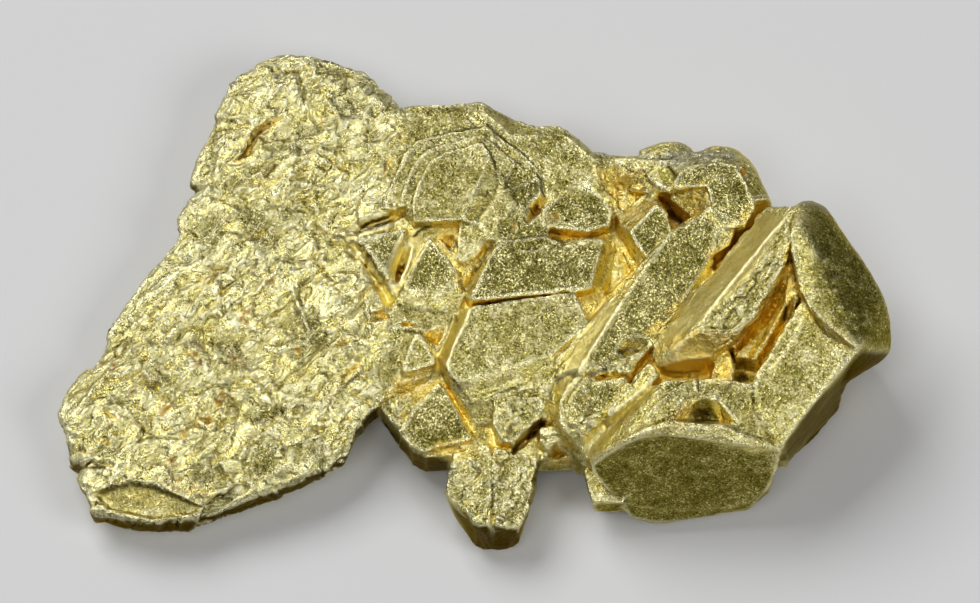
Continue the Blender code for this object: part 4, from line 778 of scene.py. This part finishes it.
def leaf_share(spots):
    """1 on the crumpled leaf and 0 on the rest."""
    wander = 0.35 * smooth_noise(spots, size=1.1, seed=3)
    leaning = LEAF_END_HIGH + LEAF_END_LEAN * (spots[:, 1] - LEAF_TURN)
    end = np.where(spots[:, 1] > LEAF_TURN, leaning, LEAF_END) + wander
    return 1.0 - ease(spots[:, 0], low=end - 0.7, high=end + 0.3)


def leaf_relief(spots):
    """Overlapping scales, creases and fine wrinkles of the thin leaf."""
    grain = turned(spots, LEAF_GRAIN, stretch=1.8)
    shift = drift(grain, size=0.9, seeds=(21, 31), noise=layered_noise)
    relief = 0.10 * smooth_noise(grain, size=1.6, seed=41)
    for size, height, seed in LEAF_SCALES:
        from_border, offset, own = jittered_cells(grain + 0.45 * shift, size, seed)
        tilt = offset[:, 0] * own[0] + offset[:, 1] * own[1] + 0.3 * own[2]
        relief += height * (tilt - 0.4 * bump(from_border, width=0.07))
    warped = grain + 0.2 * shift
    for size, height, seed in LEAF_CRESTS:
        relief += height * ridged(warped, size, seed) ** 2
    edge_lines = ridged(turned(spots, EDGE_GRAIN, stretch=7.0), size=0.3, seed=81)
    near_edge = 1.0 - ease(spots[:, 0] - 0.55 * spots[:, 1], low=-9.4, high=-8.0)
    relief += 0.05 * edge_lines * near_edge
    relief += 0.018 * ridged(turned(warped, CROSS_GRAIN, stretch=4.0), size=0.16, seed=82)
    return relief


def shelf_relief(spots):
    """The uneven ground between the crystals of the middle and right."""
    grain = turned(spots, SHELF_GRAIN, stretch=1.5)
    offset, own = jittered_cells(grain, size=0.55, seed=91)[1:]
    tilt = offset[:, 0] * own[0] + offset[:, 1] * own[1]
    crests = ridged(grain, size=0.3, seed=96) + 0.6 * ridged(grain, size=0.15, seed=97)
    return 0.025 * layered_noise(grain, size=0.8, seed=95) + 0.012 * tilt + 0.018 * crests


def crumples(spots):
    """Small sharp-edged dents and creases, like foil that was pressed together."""
    shift = drift(spots, size=0.6, seeds=(151, 161), noise=layered_noise)
    grain = turned(spots, CRUMPLE_GRAIN, stretch=2.1) + 0.25 * shift
    from_border, offset, own = jittered_cells(grain, size=0.62, seed=171)
    tilt = offset[:, 0] * own[0] + offset[:, 1] * own[1] + 0.4 * own[2]
    crests = 0.4 * ridged(grain, size=0.45, seed=181) + 0.08 * ridged(grain, size=0.18, seed=182)
    return tilt + crests - 0.25 * bump(from_border, width=0.07)


def streaks(spots, angle, size):
    return layered_noise(turned(spots, math.radians(angle), STREAK_STRETCH), size, seed=121, layers=2)


def worn_share(spots):
    """How round each point is worn or grown, from 0 to 1."""
    total = np.zeros(len(spots))
    for share, outline in ROUND_PARTS:
        total = np.maximum(total, share * patch(spots, outline, soft=0.25))
    return total


class Masks:
    """Where each finish lies, worked out from the points' places and facing."""

    def __init__(self, points, facing):
        self.spots = layout(points)
        self.top = ease(facing @ TOWARDS_VIEWER, low=0.02, high=0.25)
        self.leaf = leaf_share(self.spots)
        sway = drift(self.spots, size=0.3, seeds=(140, 141))
        ragged = self.spots + 0.04 * sway
        frayed = self.spots + 0.16 * sway
        self.flat = ease(facing[:, 2], low=0.9, high=0.975) * (1.0 - self.leaf)
        self.matte = gathered(ragged, DULL_FACES, soft=0.08) * self.top
        self.matte = np.maximum(self.matte, 0.9 * gathered(frayed, LEAF_PATCHES, soft=0.2) * self.top)
        # Steep faces near the ground, the listed faces and the cap's side are painted dark as shade.
        near_ground = 1.0 - ease(points[:, 2], low=1.7, high=2.8)
        steep = 1.0 - ease(facing[:, 2], low=0.3, high=0.6)
        shaded_outlines = gathered(ragged, SHADED_FACES, soft=0.1)
        self.dark = np.maximum(shaded_outlines * self.top, 0.6 * near_ground * steep)
        self.dark = np.maximum(self.dark, 0.95 * patch(frayed, SHADED_CAP_SIDE, soft=0.45) * self.top)
        self.grey = gathered(ragged, GREY_FACES, soft=0.12) * self.top
        self.amber = gathered(self.spots, AMBER_FIELDS, soft=0.18) * self.top
        # Pits painted dark as shade, and kept free of amber.
        self.shaded_pit = gathered(ragged, SHADED_PITS, soft=0.08) * self.top
        self.dark = np.maximum(self.dark, 0.9 * self.shaded_pit)
        self.worn = worn_share(self.spots)
        self.spindle = patch(self.spots, SPINDLE_SMOOTH, soft=0.15) * self.top
        bands = gathered(ragged, SMOOTH_BANDS, soft=0.1) * self.top
        self.smooth = np.maximum(bands, self.spindle)
        self.lens = patch(self.spots, LENS_FACET, soft=0.07)
        self.smooth = np.maximum(self.smooth, 0.35 * self.lens * self.top)
        crumpled = gathered(frayed, [outline for outline, height in CRUMPLED], soft=0.2) * self.top
        crumpled *= (1.0 - self.matte) * (1.0 - self.dark) * (1.0 - self.smooth)
        self.foil = np.maximum(self.leaf * (1.0 - self.lens), 0.85 * crumpled)
        # Steep walls facing the front, on the leaf and the listed places, are painted dark as shade.
        walls = np.maximum(self.leaf, gathered(self.spots, SHADED_WALLS, soft=0.1))
        self.shaded_wall = walls * steep * ease(-facing[:, 1], low=0.1, high=0.4)


def add_listed_relief(move, spots, top):
    """Add what is listed one by one: streaks, crumples, grains, cracks, growth lines and folds."""
    for outline, angle, size, height in STREAKED_FACES:
        move += patch(spots, outline, soft=0.15) * top * height * streaks(spots, angle, size)
    dents = crumples(spots)
    for outline, height in CRUMPLED:
        move += height * patch(spots, outline, soft=0.2) * dents * top
    for x, up, radius, height in GRAINS:
        move += height * bump(spot_distance(spots, x, up), radius) * top
    for path, width, depth, amber in GROOVES:
        distance, along = line_distance(spots, path)
        taper = tapered(along, slope=4.0, past=0.06)
        move -= depth * bump(distance, width * (0.4 + 0.6 * taper)) * taper * top
    for path, width, height in RAISED_LINES + FOLDS:
        distance, along = line_distance(spots, path)
        taper = tapered(along, slope=5.0, past=0.0)
        move += LINE_STRENGTH * height * bump(distance, width) * taper * top


def displacement(points, facing, ridge_distance, crease_distance, border_distance):
    """How far each point moves out along its normal, in millimetres."""
    masks = Masks(points, facing)
    spots = masks.spots
    crystal = 1.0 - masks.leaf
    smooth_faces = np.maximum(masks.matte, masks.dark) * crystal
    rough = crystal * (1.0 - smooth_faces) * (1.0 - masks.spindle)
    move = masks.leaf * leaf_relief(spots) * masks.top * (1.0 - 0.8 * masks.lens)
    move += rough * shelf_relief(spots) * masks.top
    move += (1.0 - masks.top) * 0.05 * layered_noise(points, size=0.9, seed=101)
    move += smooth_faces * 0.008 * layered_noise(spots, size=0.25, seed=111)
    rims = RIM_HEIGHT * bump(ridge_distance, RIM_WIDTH)
    creases = CREASE_DEPTH * bump(crease_distance, CREASE_WIDTH)
    rims *= 0.9 + 0.6 * smooth_noise(points, size=0.3, seed=105)
    move += crystal * (1.0 - masks.worn) * (rims - creases)
    merged = patch(spots, MERGED, soft=0.2)
    move += masks.leaf * (1.0 - merged) * RIM_HEIGHT * bump(border_distance, RIM_WIDTH)
    move -= LENS_DEPTH * masks.lens * masks.top
    add_listed_relief(move, spots, masks.top)
    return move


def keep_on_surface(points):
    """Nothing reaches below the surface that the specimen lies on."""
    points[:, 2] = np.maximum(points[:, 2], 0.0)
    return points


def thin_out(skin):
    """Fewer triangles, most of them kept on the top."""
    mesh = skin.data
    group = skin.vertex_groups.new(name="spare")
    away = 1.0 - ease(normals(mesh) @ TOWARDS_VIEWER, low=-0.1, high=0.15)
    spare = TOP_SPARE + (UNDER_SPARE - TOP_SPARE) * away
    for level in (TOP_SPARE, UNDER_SPARE):
        chosen = np.nonzero(np.abs(spare - level) < SPARE_REACH)[0]
        group.add(chosen.tolist(), level, "REPLACE")
    triangles = sum(len(face.vertices) - 2 for face in mesh.polygons)
    fewer = skin.modifiers.new("fewer triangles", "DECIMATE")
    fewer.ratio = min(1.0, TRIANGLE_LIMIT / triangles)
    fewer.vertex_group = group.name
    fewer.vertex_group_factor = 1.0
    applied(skin)
    skin.vertex_groups.clear()


def painted_highlights(points, masks, ridges, sheltered):
    """Painted highlights on the edges, raised lines and small spots."""
    spots = masks.spots
    uneven = np.clip(0.62 + 0.85 * smooth_noise(points, size=0.5, seed=191), 0.1, 1.2)
    bright = bump(tree_distance(points, ridges), 0.06 + 0.05 * masks.leaf) * (1.0 - masks.worn)
    for path, width, height in RAISED_LINES + FOLDS:
        if height > 0.0:
            bright = np.maximum(bright, 0.6 * bump(line_distance(spots, path)[0], 0.8 * width))
    for x, up, radius in HIGHLIGHT_SPOTS:
        sway = 0.3 * radius * smooth_noise(spots, 0.5 * radius, seed=192)
        distance = spot_distance(spots, x, up) + sway
        bright = np.maximum(bright, 0.9 * (1.0 - ease(distance, 0.4 * radius, radius)))
    return bright * uneven * masks.top * (1.0 - 0.7 * ease(sheltered, low=0.3, high=0.6))


def stain(masks):
    """Amber and rust gathered in the grooves, hollows and spots."""
    spots = masks.spots
    amount = masks.amber
    for path, width, depth, amber in GROOVES:
        if amber > 0.0:
            distance = line_distance(spots, path)[0]
            amount = np.maximum(amount, amber * bump(distance, width * 1.5))
    frayed = spots + 0.09 * drift(spots, size=0.09, seeds=(131, 132))
    rust = np.zeros(len(spots))
    for x, up, radius in RUST_SPOTS:
        distance = spot_distance(frayed, x, up)
        rust = np.maximum(rust, 1.0 - ease(distance, radius * 0.3, radius))
    specks = ease(smooth_noise(spots, size=0.09, seed=133), low=0.1, high=0.5)
    for x, up, radius in SPECKLED:
        distance = spot_distance(frayed, x, up)
        rust = np.maximum(rust, specks * (1.0 - ease(distance, radius * 0.5, radius)))
    return amount * masks.top, rust * masks.top


def shade_lines(points, masks, creases, sheltered):
    """Painted shade: thin dark lines where hollows close up, in the slits, and on the steep front walls."""
    closing = ease(sheltered, low=0.4, high=0.65)
    amount = 0.6 * bump(tree_distance(points, creases), width=0.038) * closing
    frayed = masks.spots + 0.03 * drift(masks.spots, size=0.15, seeds=(201, 202))
    for path, width, strength in SHADED_SLITS:
        distance, along = line_distance(frayed, path)
        taper = tapered(along, slope=4.0, past=0.1)
        line = 1.0 - ease(distance, 0.4 * width * taper, 1.1 * width * taper + 0.01)
        amount = np.maximum(amount, strength * line)
    return np.maximum(amount, 0.92 * masks.shaded_wall) * masks.top


def carve(skin, ridges, creases, borders):
    """Round the skin's edges and give it its relief."""
    mesh = skin.data
    ends = edge_ends(mesh)
    points = spread_out(coordinates(mesh), ends, SMOOTH_STEPS)
    distances = [tree_distance(points, tree) for tree in (ridges, creases, borders)]
    spots = layout(points)
    merged = patch(spots, MERGED, soft=0.2)
    loose = leaf_share(spots) * np.maximum(ease(distances[2], low=0.1, high=0.45), merged)
    share = 0.5 * np.maximum(worn_share(spots), loose)
    points = spread_out(points, ends, ROUNDING_STEPS, share[:, None])
    set_coordinates(mesh, points)
    facing = normals(mesh)
    move = displacement(points, facing, *distances)
    set_coordinates(mesh, keep_on_surface(points + facing * move[:, None]))


def keep_finishes(mesh, ridges, creases):
    """Keep where each finish lies in the mesh's named attributes."""
    points = coordinates(mesh)
    facing = normals(mesh)
    masks = Masks(points, facing)
    amber, rust = stain(masks)
    broad = spread_out(points, edge_ends(mesh), HOLLOW_STEPS)
    hollow = HOLLOW_MIDDLE + np.einsum("ij,ij->i", broad - points, facing) * HOLLOW_GAIN
    sheltered = shelter(points, facing, mesh)
    amounts = (
        masks.flat, masks.grey, masks.matte, masks.dark, masks.foil, masks.smooth, amber, rust,
        hollow, sheltered * (1.0 - masks.shaded_pit), shade_lines(points, masks, creases, sheltered),
        painted_highlights(points, masks, ridges, sheltered),
    )
    for name, values in zip(FINISHES, amounts):
        layer = mesh.attributes.new(name, "FLOAT", "POINT")
        layer.data.foreach_set("value", np.clip(values, 0.0, 1.0).astype(np.float32))


def gold_skin(node):
    """The visible body of the specimen, in metres, with its finish in named attributes."""
    skin = fine_copy(node)
    ridges, creases, borders = sharp_edges(node)
    carve(skin, ridges, creases, borders)
    thin_out(skin)
    mesh = skin.data
    keep_finishes(mesh, ridges, creases)
    set_coordinates(mesh, coordinates(mesh) * MM)
    mesh.shade_smooth()
    return skin


# ---------------------------------------------------------------- materials


class Nodes:
    """Short ways to add and join shader nodes. What goes in is a number, a colour or
    another node's output."""

    def __init__(self, name):
        self.material = bpy.data.materials.new(name)
        self.material.use_nodes = True
        self.tree = self.material.node_tree
        self.shader = self.tree.nodes["Principled BSDF"]

    def link(self, value, socket):
        if isinstance(value, bpy.types.NodeSocket):
            self.tree.links.new(value, socket)
        else:
            socket.default_value = value

    def new(self, kind, inputs, **settings):
        node = self.tree.nodes.new(f"ShaderNode{kind}")
        for name, setting in settings.items():
            setattr(node, name, setting)
        for socket, value in inputs.items():
            self.link(value, node.inputs[socket])
        return node

    def attribute(self, name):
        return self.new("Attribute", {}, attribute_name=name).outputs["Fac"]

    def math(self, operation, first, second):
        return self.new("Math", {0: first, 1: second}, operation=operation).outputs[0]

    def times(self, first, second):
        return self.math("MULTIPLY", first, second)

    def opposite(self, share):
        return self.math("SUBTRACT", 1.0, share)

    def total(self, *shares):
        """The weighted sum of some values, given as (value, weight) pairs."""
        result = 0.0
        for value, weight in shares:
            result = self.math("ADD", result, self.times(value, weight))
        return result

    def steps(self, value, low, high):
        """0 below low, 1 above high, smooth between."""
        inputs = {"Value": value, "From Min": low, "From Max": high}
        return self.new("MapRange", inputs, interpolation_type="SMOOTHSTEP").outputs["Result"]

    def mix(self, share, first, second):
        """A colour between two."""
        return self.new("Mix", {0: share, 6: first, 7: second}, data_type="RGBA").outputs[2]

    def blend(self, share, first, second):
        """A number between two."""
        return self.new("Mix", {0: share, 2: first, 3: second}).outputs[0]

    def ramp(self, value, stops):
        """Colours between some stops, given as (value, colour) pairs."""
        node = self.new("ValToRGB", {"Fac": value})
        points = node.color_ramp.elements
        while len(points) < len(stops):
            points.new(1.0)
        for point, (position, colour) in zip(points, stops):
            point.position = position
            point.color = (*colour, 1.0)
        return node.outputs["Color"]

    def noise(self, place, scale, detail, roughness, distortion):
        inputs = {
            "Vector": place, "Scale": scale, "Detail": detail, "Roughness": roughness,
            "Distortion": distortion,
        }
        return self.new("TexNoise", inputs).outputs["Fac"]

    def crests(self, place, scale, detail, distortion):
        """Sharp wandering crests between smooth troughs: 0 in the troughs, 1 at the crests."""
        value = self.noise(place, scale, detail, 0.55, distortion)
        value.node.noise_type = "RIDGED_MULTIFRACTAL"
        value.node.inputs["Offset"].default_value = 1.0
        value.node.inputs["Gain"].default_value = 1.5
        return self.steps(value, low=0.2, high=1.6)

    def flecks(self, place, scale):
        """A random number for each small cell."""
        return self.new("TexVoronoi", {"Vector": place, "Scale": scale}).outputs["Color"]

    def millimetres(self):
        place = self.new("TexCoord", {}).outputs["Object"]
        return self.new("Mapping", {"Vector": place, "Scale": (1.0 / MM,) * 3}).outputs["Vector"]

    def stretched(self, place, angle, factor):
        """Places squeezed along a direction of the ground, so that patterns stretch along it."""
        inputs = {"Vector": place, "Rotation": (0.0, 0.0, angle), "Scale": (factor, 1.0, 1.0)}
        return self.new("Mapping", inputs, vector_type="TEXTURE").outputs["Vector"]

    def bump(self, **inputs):
        return self.new("Bump", inputs).outputs["Normal"]


# Colours of the gold, from its darkest grains to its brightest, as (grit, colour) stops.
LEAF_GOLD = (
    (0.38, (0.50, 0.415, 0.080)), (0.45, (0.78, 0.69, 0.21)), (0.51, (0.97, 0.90, 0.42)),
    (0.57, (1.0, 0.98, 0.70)),
)
SLOPE_GOLD = (
    (0.39, (0.31, 0.245, 0.030)), (0.46, (0.59, 0.505, 0.115)), (0.53, (0.86, 0.78, 0.31)),
    (0.58, (1.0, 0.95, 0.62)),
)
# Darker stops for upward flat faces: partly their matte etched finish, partly painted shade.
FACET_GOLD = (
    (0.40, (0.10, 0.085, 0.011)), (0.46, (0.28, 0.245, 0.052)), (0.52, (0.51, 0.455, 0.155)),
    (0.57, (0.95, 0.88, 0.52)),
)
DULL_GOLD = (
    (0.41, (0.048, 0.041, 0.004)), (0.47, (0.17, 0.149, 0.030)), (0.53, (0.38, 0.34, 0.105)),
    (0.58, (0.90, 0.83, 0.44)),
)
# Darkened stops for the faces painted dark as shade.
SHADED_GOLD = (
    (0.41, (0.060, 0.051, 0.004)), (0.47, (0.15, 0.130, 0.020)), (0.54, (0.30, 0.262, 0.055)),
    (0.60, (0.85, 0.75, 0.34)),
)
PALE_WARM = (
    (0.38, (0.64, 0.49, 0.070)), (0.48, (0.95, 0.81, 0.24)), (0.57, (1.0, 0.94, 0.48)),
)
AMBER = (
    (0.38, (0.58, 0.35, 0.020)), (0.48, (0.92, 0.64, 0.095)), (0.58, (1.0, 0.83, 0.28)),
)

# Colours laid over the gold here and there: painted shade in troughs, hollows and slits, painted
# highlights, brown that is partly stain and partly painted shade, grey, rust and tan; and the tint of its
# mirror at a glancing angle.
TROUGH_SHADE = (0.38, 0.34, 0.105, 1.0)
HOLLOW_SHADE = (0.17, 0.149, 0.030, 1.0)
HIGHLIGHT = (1.0, 0.95, 0.58, 1.0)
STAIN_AND_SHADE_BROWN = (0.30, 0.13, 0.015, 1.0)
GREY = (0.38, 0.40, 0.40, 1.0)
RUST = (0.44, 0.215, 0.006, 1.0)
TAN = (0.66, 0.53, 0.185, 1.0)
SLIT_SHADE = (0.045, 0.020, 0.002, 1.0)
EDGE_TINT = (0.92, 0.80, 0.45, 1.0)

# How deep the fine relief of the material is taken to be, in metres.
FOLD_DEPTH = 0.09 * MM
GRAIN_DEPTH = 0.085 * MM


def gold_material():
    gold = Nodes("natural gold")
    place = gold.millimetres()
    finishes = [gold.attribute(name) for name in FINISHES]
    flat, grey, matte, dark, leaf, smooth, amber, rust, hollow, sheltered, slit, edge = finishes

    # Grain.
    fine = gold.noise(place, scale=16.0, detail=2.0, roughness=0.8, distortion=1.0)
    flecks = gold.flecks(place, scale=17.0)
    strokes = gold.noise(place, scale=8.5, detail=2.0, roughness=0.6, distortion=2.0)
    patchy = gold.noise(place, scale=3.0, detail=3.0, roughness=0.6, distortion=0.4)
    broad = gold.noise(place, scale=1.1, detail=2.0, roughness=0.5, distortion=0.0)
    grit = gold.total((fine, 0.36), (flecks, 0.08), (strokes, 0.27), (patchy, 0.17), (broad, 0.12))
    grit = gold.blend(gold.times(smooth, 0.4), grit, 0.475)
    along_leaf = gold.stretched(place, LEAF_GRAIN, factor=2.0)
    folded = gold.crests(along_leaf, scale=2.3, detail=4.0, distortion=0.5)
    open_folds = gold.opposite(gold.steps(folded, low=0.05, high=0.45))

    # Colour.
    # Painted shade in the troughs between the leaf's folds.
    leaf_colour = gold.mix(gold.times(open_folds, 0.5), gold.ramp(grit, LEAF_GOLD), TROUGH_SHADE)
    colour = gold.mix(leaf, gold.ramp(grit, SLOPE_GOLD), leaf_colour)
    # Upward flat faces: partly their own etched finish, partly painted shade.
    colour = gold.mix(flat, colour, gold.ramp(grit, FACET_GOLD))
    patches = gold.steps(patchy, low=0.30, high=0.44)
    colour = gold.mix(gold.times(matte, gold.blend(patches, 1.0, 0.72)), colour, gold.ramp(grit, DULL_GOLD))
    # Painted shade: faces under the dark mask take darkened colours.
    colour = gold.mix(dark, colour, gold.ramp(grit, SHADED_GOLD))
    colour = gold.mix(gold.times(smooth, 0.5), colour, TAN)
    # Painted shade in hollows and painted highlights on raised points, by the hollow measure.
    hollow_shading = gold.steps(hollow, low=0.53, high=0.76)
    colour = gold.mix(gold.times(hollow_shading, gold.blend(leaf, 0.45, 0.72)), colour, HOLLOW_SHADE)
    raised = gold.opposite(gold.steps(hollow, low=0.22, high=0.46))
    colour = gold.mix(gold.times(raised, gold.blend(leaf, 0.35, 0.6)), colour, HIGHLIGHT)
    # Sheltered places turn amber: partly stain, partly painted warm light bounced between the gold walls.
    deep = gold.steps(sheltered, low=0.45, high=0.75)
    warm = gold.mix(deep, gold.ramp(grit, PALE_WARM), gold.ramp(grit, AMBER))
    colour = gold.mix(gold.times(gold.steps(sheltered, low=0.2, high=0.5), 0.9), colour, warm)
    stained = gold.times(amber, gold.steps(patchy, low=0.25, high=0.6))
    colour = gold.mix(gold.times(stained, 0.8), colour, gold.ramp(grit, AMBER))
    # The deepest sheltered places turn brown: partly stain, partly painted shade.
    deepest = gold.steps(sheltered, low=0.7, high=0.95)
    colour = gold.mix(gold.times(deepest, gold.blend(amber, 0.85, 0.25)), colour, STAIN_AND_SHADE_BROWN)
    colour = gold.mix(gold.times(grey, 0.5), colour, GREY)
    # Painted highlight: edges, raised lines and listed spots are coloured bright.
    colour = gold.mix(gold.times(edge, 0.7), colour, HIGHLIGHT)
    colour = gold.mix(gold.times(rust, 0.9), colour, RUST)
    # Painted shade: slits, closing creases and front walls are coloured nearly black.
    colour = gold.mix(slit, colour, SLIT_SHADE)
    gold.link(colour, gold.shader.inputs["Base Color"])

    # Gloss.
    rough = gold.blend(gold.steps(patchy, low=0.35, high=0.7), 0.25, 0.34)
    for share, roughness in ((matte, 0.26), (dark, 0.32), (edge, 0.24), (rust, 0.5), (smooth, 0.45)):
        rough = gold.blend(share, rough, roughness)
    gold.link(rough, gold.shader.inputs["Roughness"])
    gold.link(1.0, gold.shader.inputs["Metallic"])
    gold.link(EDGE_TINT, gold.shader.inputs["Specular Tint"])

    # Fine relief.
    strength = gold.blend(flat, gold.blend(leaf, 0.6, 0.65), 0.8)
    for share, level in ((matte, 0.9), (dark, 0.5), (smooth, 0.35)):
        strength = gold.blend(share, strength, level)
    fold_share = gold.blend(flat, gold.blend(leaf, 0.4, 1.0), 0.15)
    fold_share = gold.blend(matte, fold_share, gold.blend(leaf, 0.1, 0.4))
    fold_share = gold.blend(gold.math("MAXIMUM", dark, smooth), fold_share, 0.08)
    creased = gold.bump(Height=gold.times(folded, fold_share), Distance=FOLD_DEPTH, Strength=1.0)
    tips = gold.noise(place, scale=14.0, detail=1.0, roughness=0.5, distortion=0.5)
    relief = gold.total((strokes, 0.5), (tips, 0.35), (fine, 0.1), (patchy, 0.3))
    grained = gold.bump(Height=relief, Distance=GRAIN_DEPTH, Strength=strength, Normal=creased)
    gold.link(grained, gold.shader.inputs["Normal"])
    return gold.material


def floor_material():
    pale = Nodes("pale floor")
    pale.link(FLOOR_COLOUR, pale.shader.inputs["Base Color"])
    pale.link(FLOOR_ROUGHNESS, pale.shader.inputs["Roughness"])
    return pale.material


# ---------------------------------------------------------------- floor, light and camera

FLOOR_COLOUR = (0.72, 0.72, 0.72, 1.0)
FLOOR_ROUGHNESS = 0.6
FLOOR_HALF = 1.5

# Soft boxes: name, azimuth and elevation in degrees, width and height in metres, brightness.
LIGHTS = (
    ("key", -135.0, 52.0, 0.3, 0.24, 4.9),
    ("fill", 60.0, 40.0, 0.22, 0.2, 3.6),
    ("front", -20.0, 62.0, 0.16, 0.14, 4.0),
)
LIGHT_DISTANCE = 0.42
STUDIO_GREY = (0.11, 0.11, 0.115, 1.0)

CAMERA_DISTANCE = 0.8
SENSOR_WIDTH = 36.0
CLIP_START = 0.01
CLIP_END = 5.0


def make_floor():
    mesh = bpy.data.meshes.new("floor")
    ground = bmesh.new()
    bmesh.ops.create_grid(ground, x_segments=1, y_segments=1, size=FLOOR_HALF)
    ground.to_mesh(mesh)
    ground.free()
    floor = bpy.data.objects.new("floor", mesh)
    bpy.context.scene.collection.objects.link(floor)
    mesh.materials.append(floor_material())


def direction(azimuth, elevation):
    """A unit vector towards a light or camera: azimuth 0 is in front, 90 is to +X."""
    turn = math.radians(azimuth)
    lift = math.radians(elevation)
    return Vector((
        math.sin(turn) * math.cos(lift),
        -math.cos(turn) * math.cos(lift),
        math.sin(lift),
    ))


def soft_light(name, azimuth, elevation, width, height, brightness):
    """A rectangular soft box that faces the specimen. Its power follows from its brightness."""
    light = bpy.data.lights.new(name, "AREA")
    light.shape = "RECTANGLE"
    light.size = width
    light.size_y = height
    light.energy = brightness * math.pi * width * height
    lamp = bpy.data.objects.new(name, light)
    towards = direction(azimuth, elevation)
    lamp.location = towards * LIGHT_DISTANCE
    lamp.rotation_mode = "QUATERNION"
    lamp.rotation_quaternion = towards.to_track_quat("Z", "Y")
    lamp.visible_camera = False
    bpy.context.scene.collection.objects.link(lamp)


def make_lights():
    for settings in LIGHTS:
        soft_light(*settings)
    world = bpy.data.worlds.new("studio")
    world.use_nodes = True
    world.node_tree.nodes["Background"].inputs["Color"].default_value = STUDIO_GREY
    bpy.context.scene.world = world


def make_camera():
    """A long lens at the layout plane's own angle, framed as the photograph is."""
    camera = bpy.data.cameras.new("camera")
    camera.sensor_width = SENSOR_WIDTH
    camera.lens = camera.sensor_width * CAMERA_DISTANCE / (IMAGE_WIDTH / PIXELS_PER_MM * MM)
    camera.clip_start = CLIP_START
    camera.clip_end = CLIP_END
    eye = bpy.data.objects.new("camera", camera)
    towards = direction(0.0, math.degrees(LAYOUT_LEAN))
    up = Vector((0.0, LEAN_SIN, LEAN_COS))
    right_share = (IMAGE_WIDTH / 2.0 - ZERO_COLUMN) / PIXELS_PER_MM
    up_share = (ZERO_ROW - IMAGE_HEIGHT / 2.0) / PIXELS_PER_MM
    middle = Vector((right_share, 0.0, 0.0)) + up * up_share + Vector((0.0, LAYOUT_SHIFT, 0.0))
    eye.location = middle * MM + towards * CAMERA_DISTANCE
    eye.rotation_mode = "QUATERNION"
    eye.rotation_quaternion = towards.to_track_quat("Z", "Y")
    bpy.context.scene.collection.objects.link(eye)
    bpy.context.scene.camera = eye


clear_scene()
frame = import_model()

skin = gold_skin(frame["nodes"][NODE])
skin.data.materials.clear()
skin.data.materials.append(gold_material())
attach(skin, "root")
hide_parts(NODE)

make_floor()
make_lights()
make_camera()
bpy.context.scene.view_settings.view_transform = "Standard"
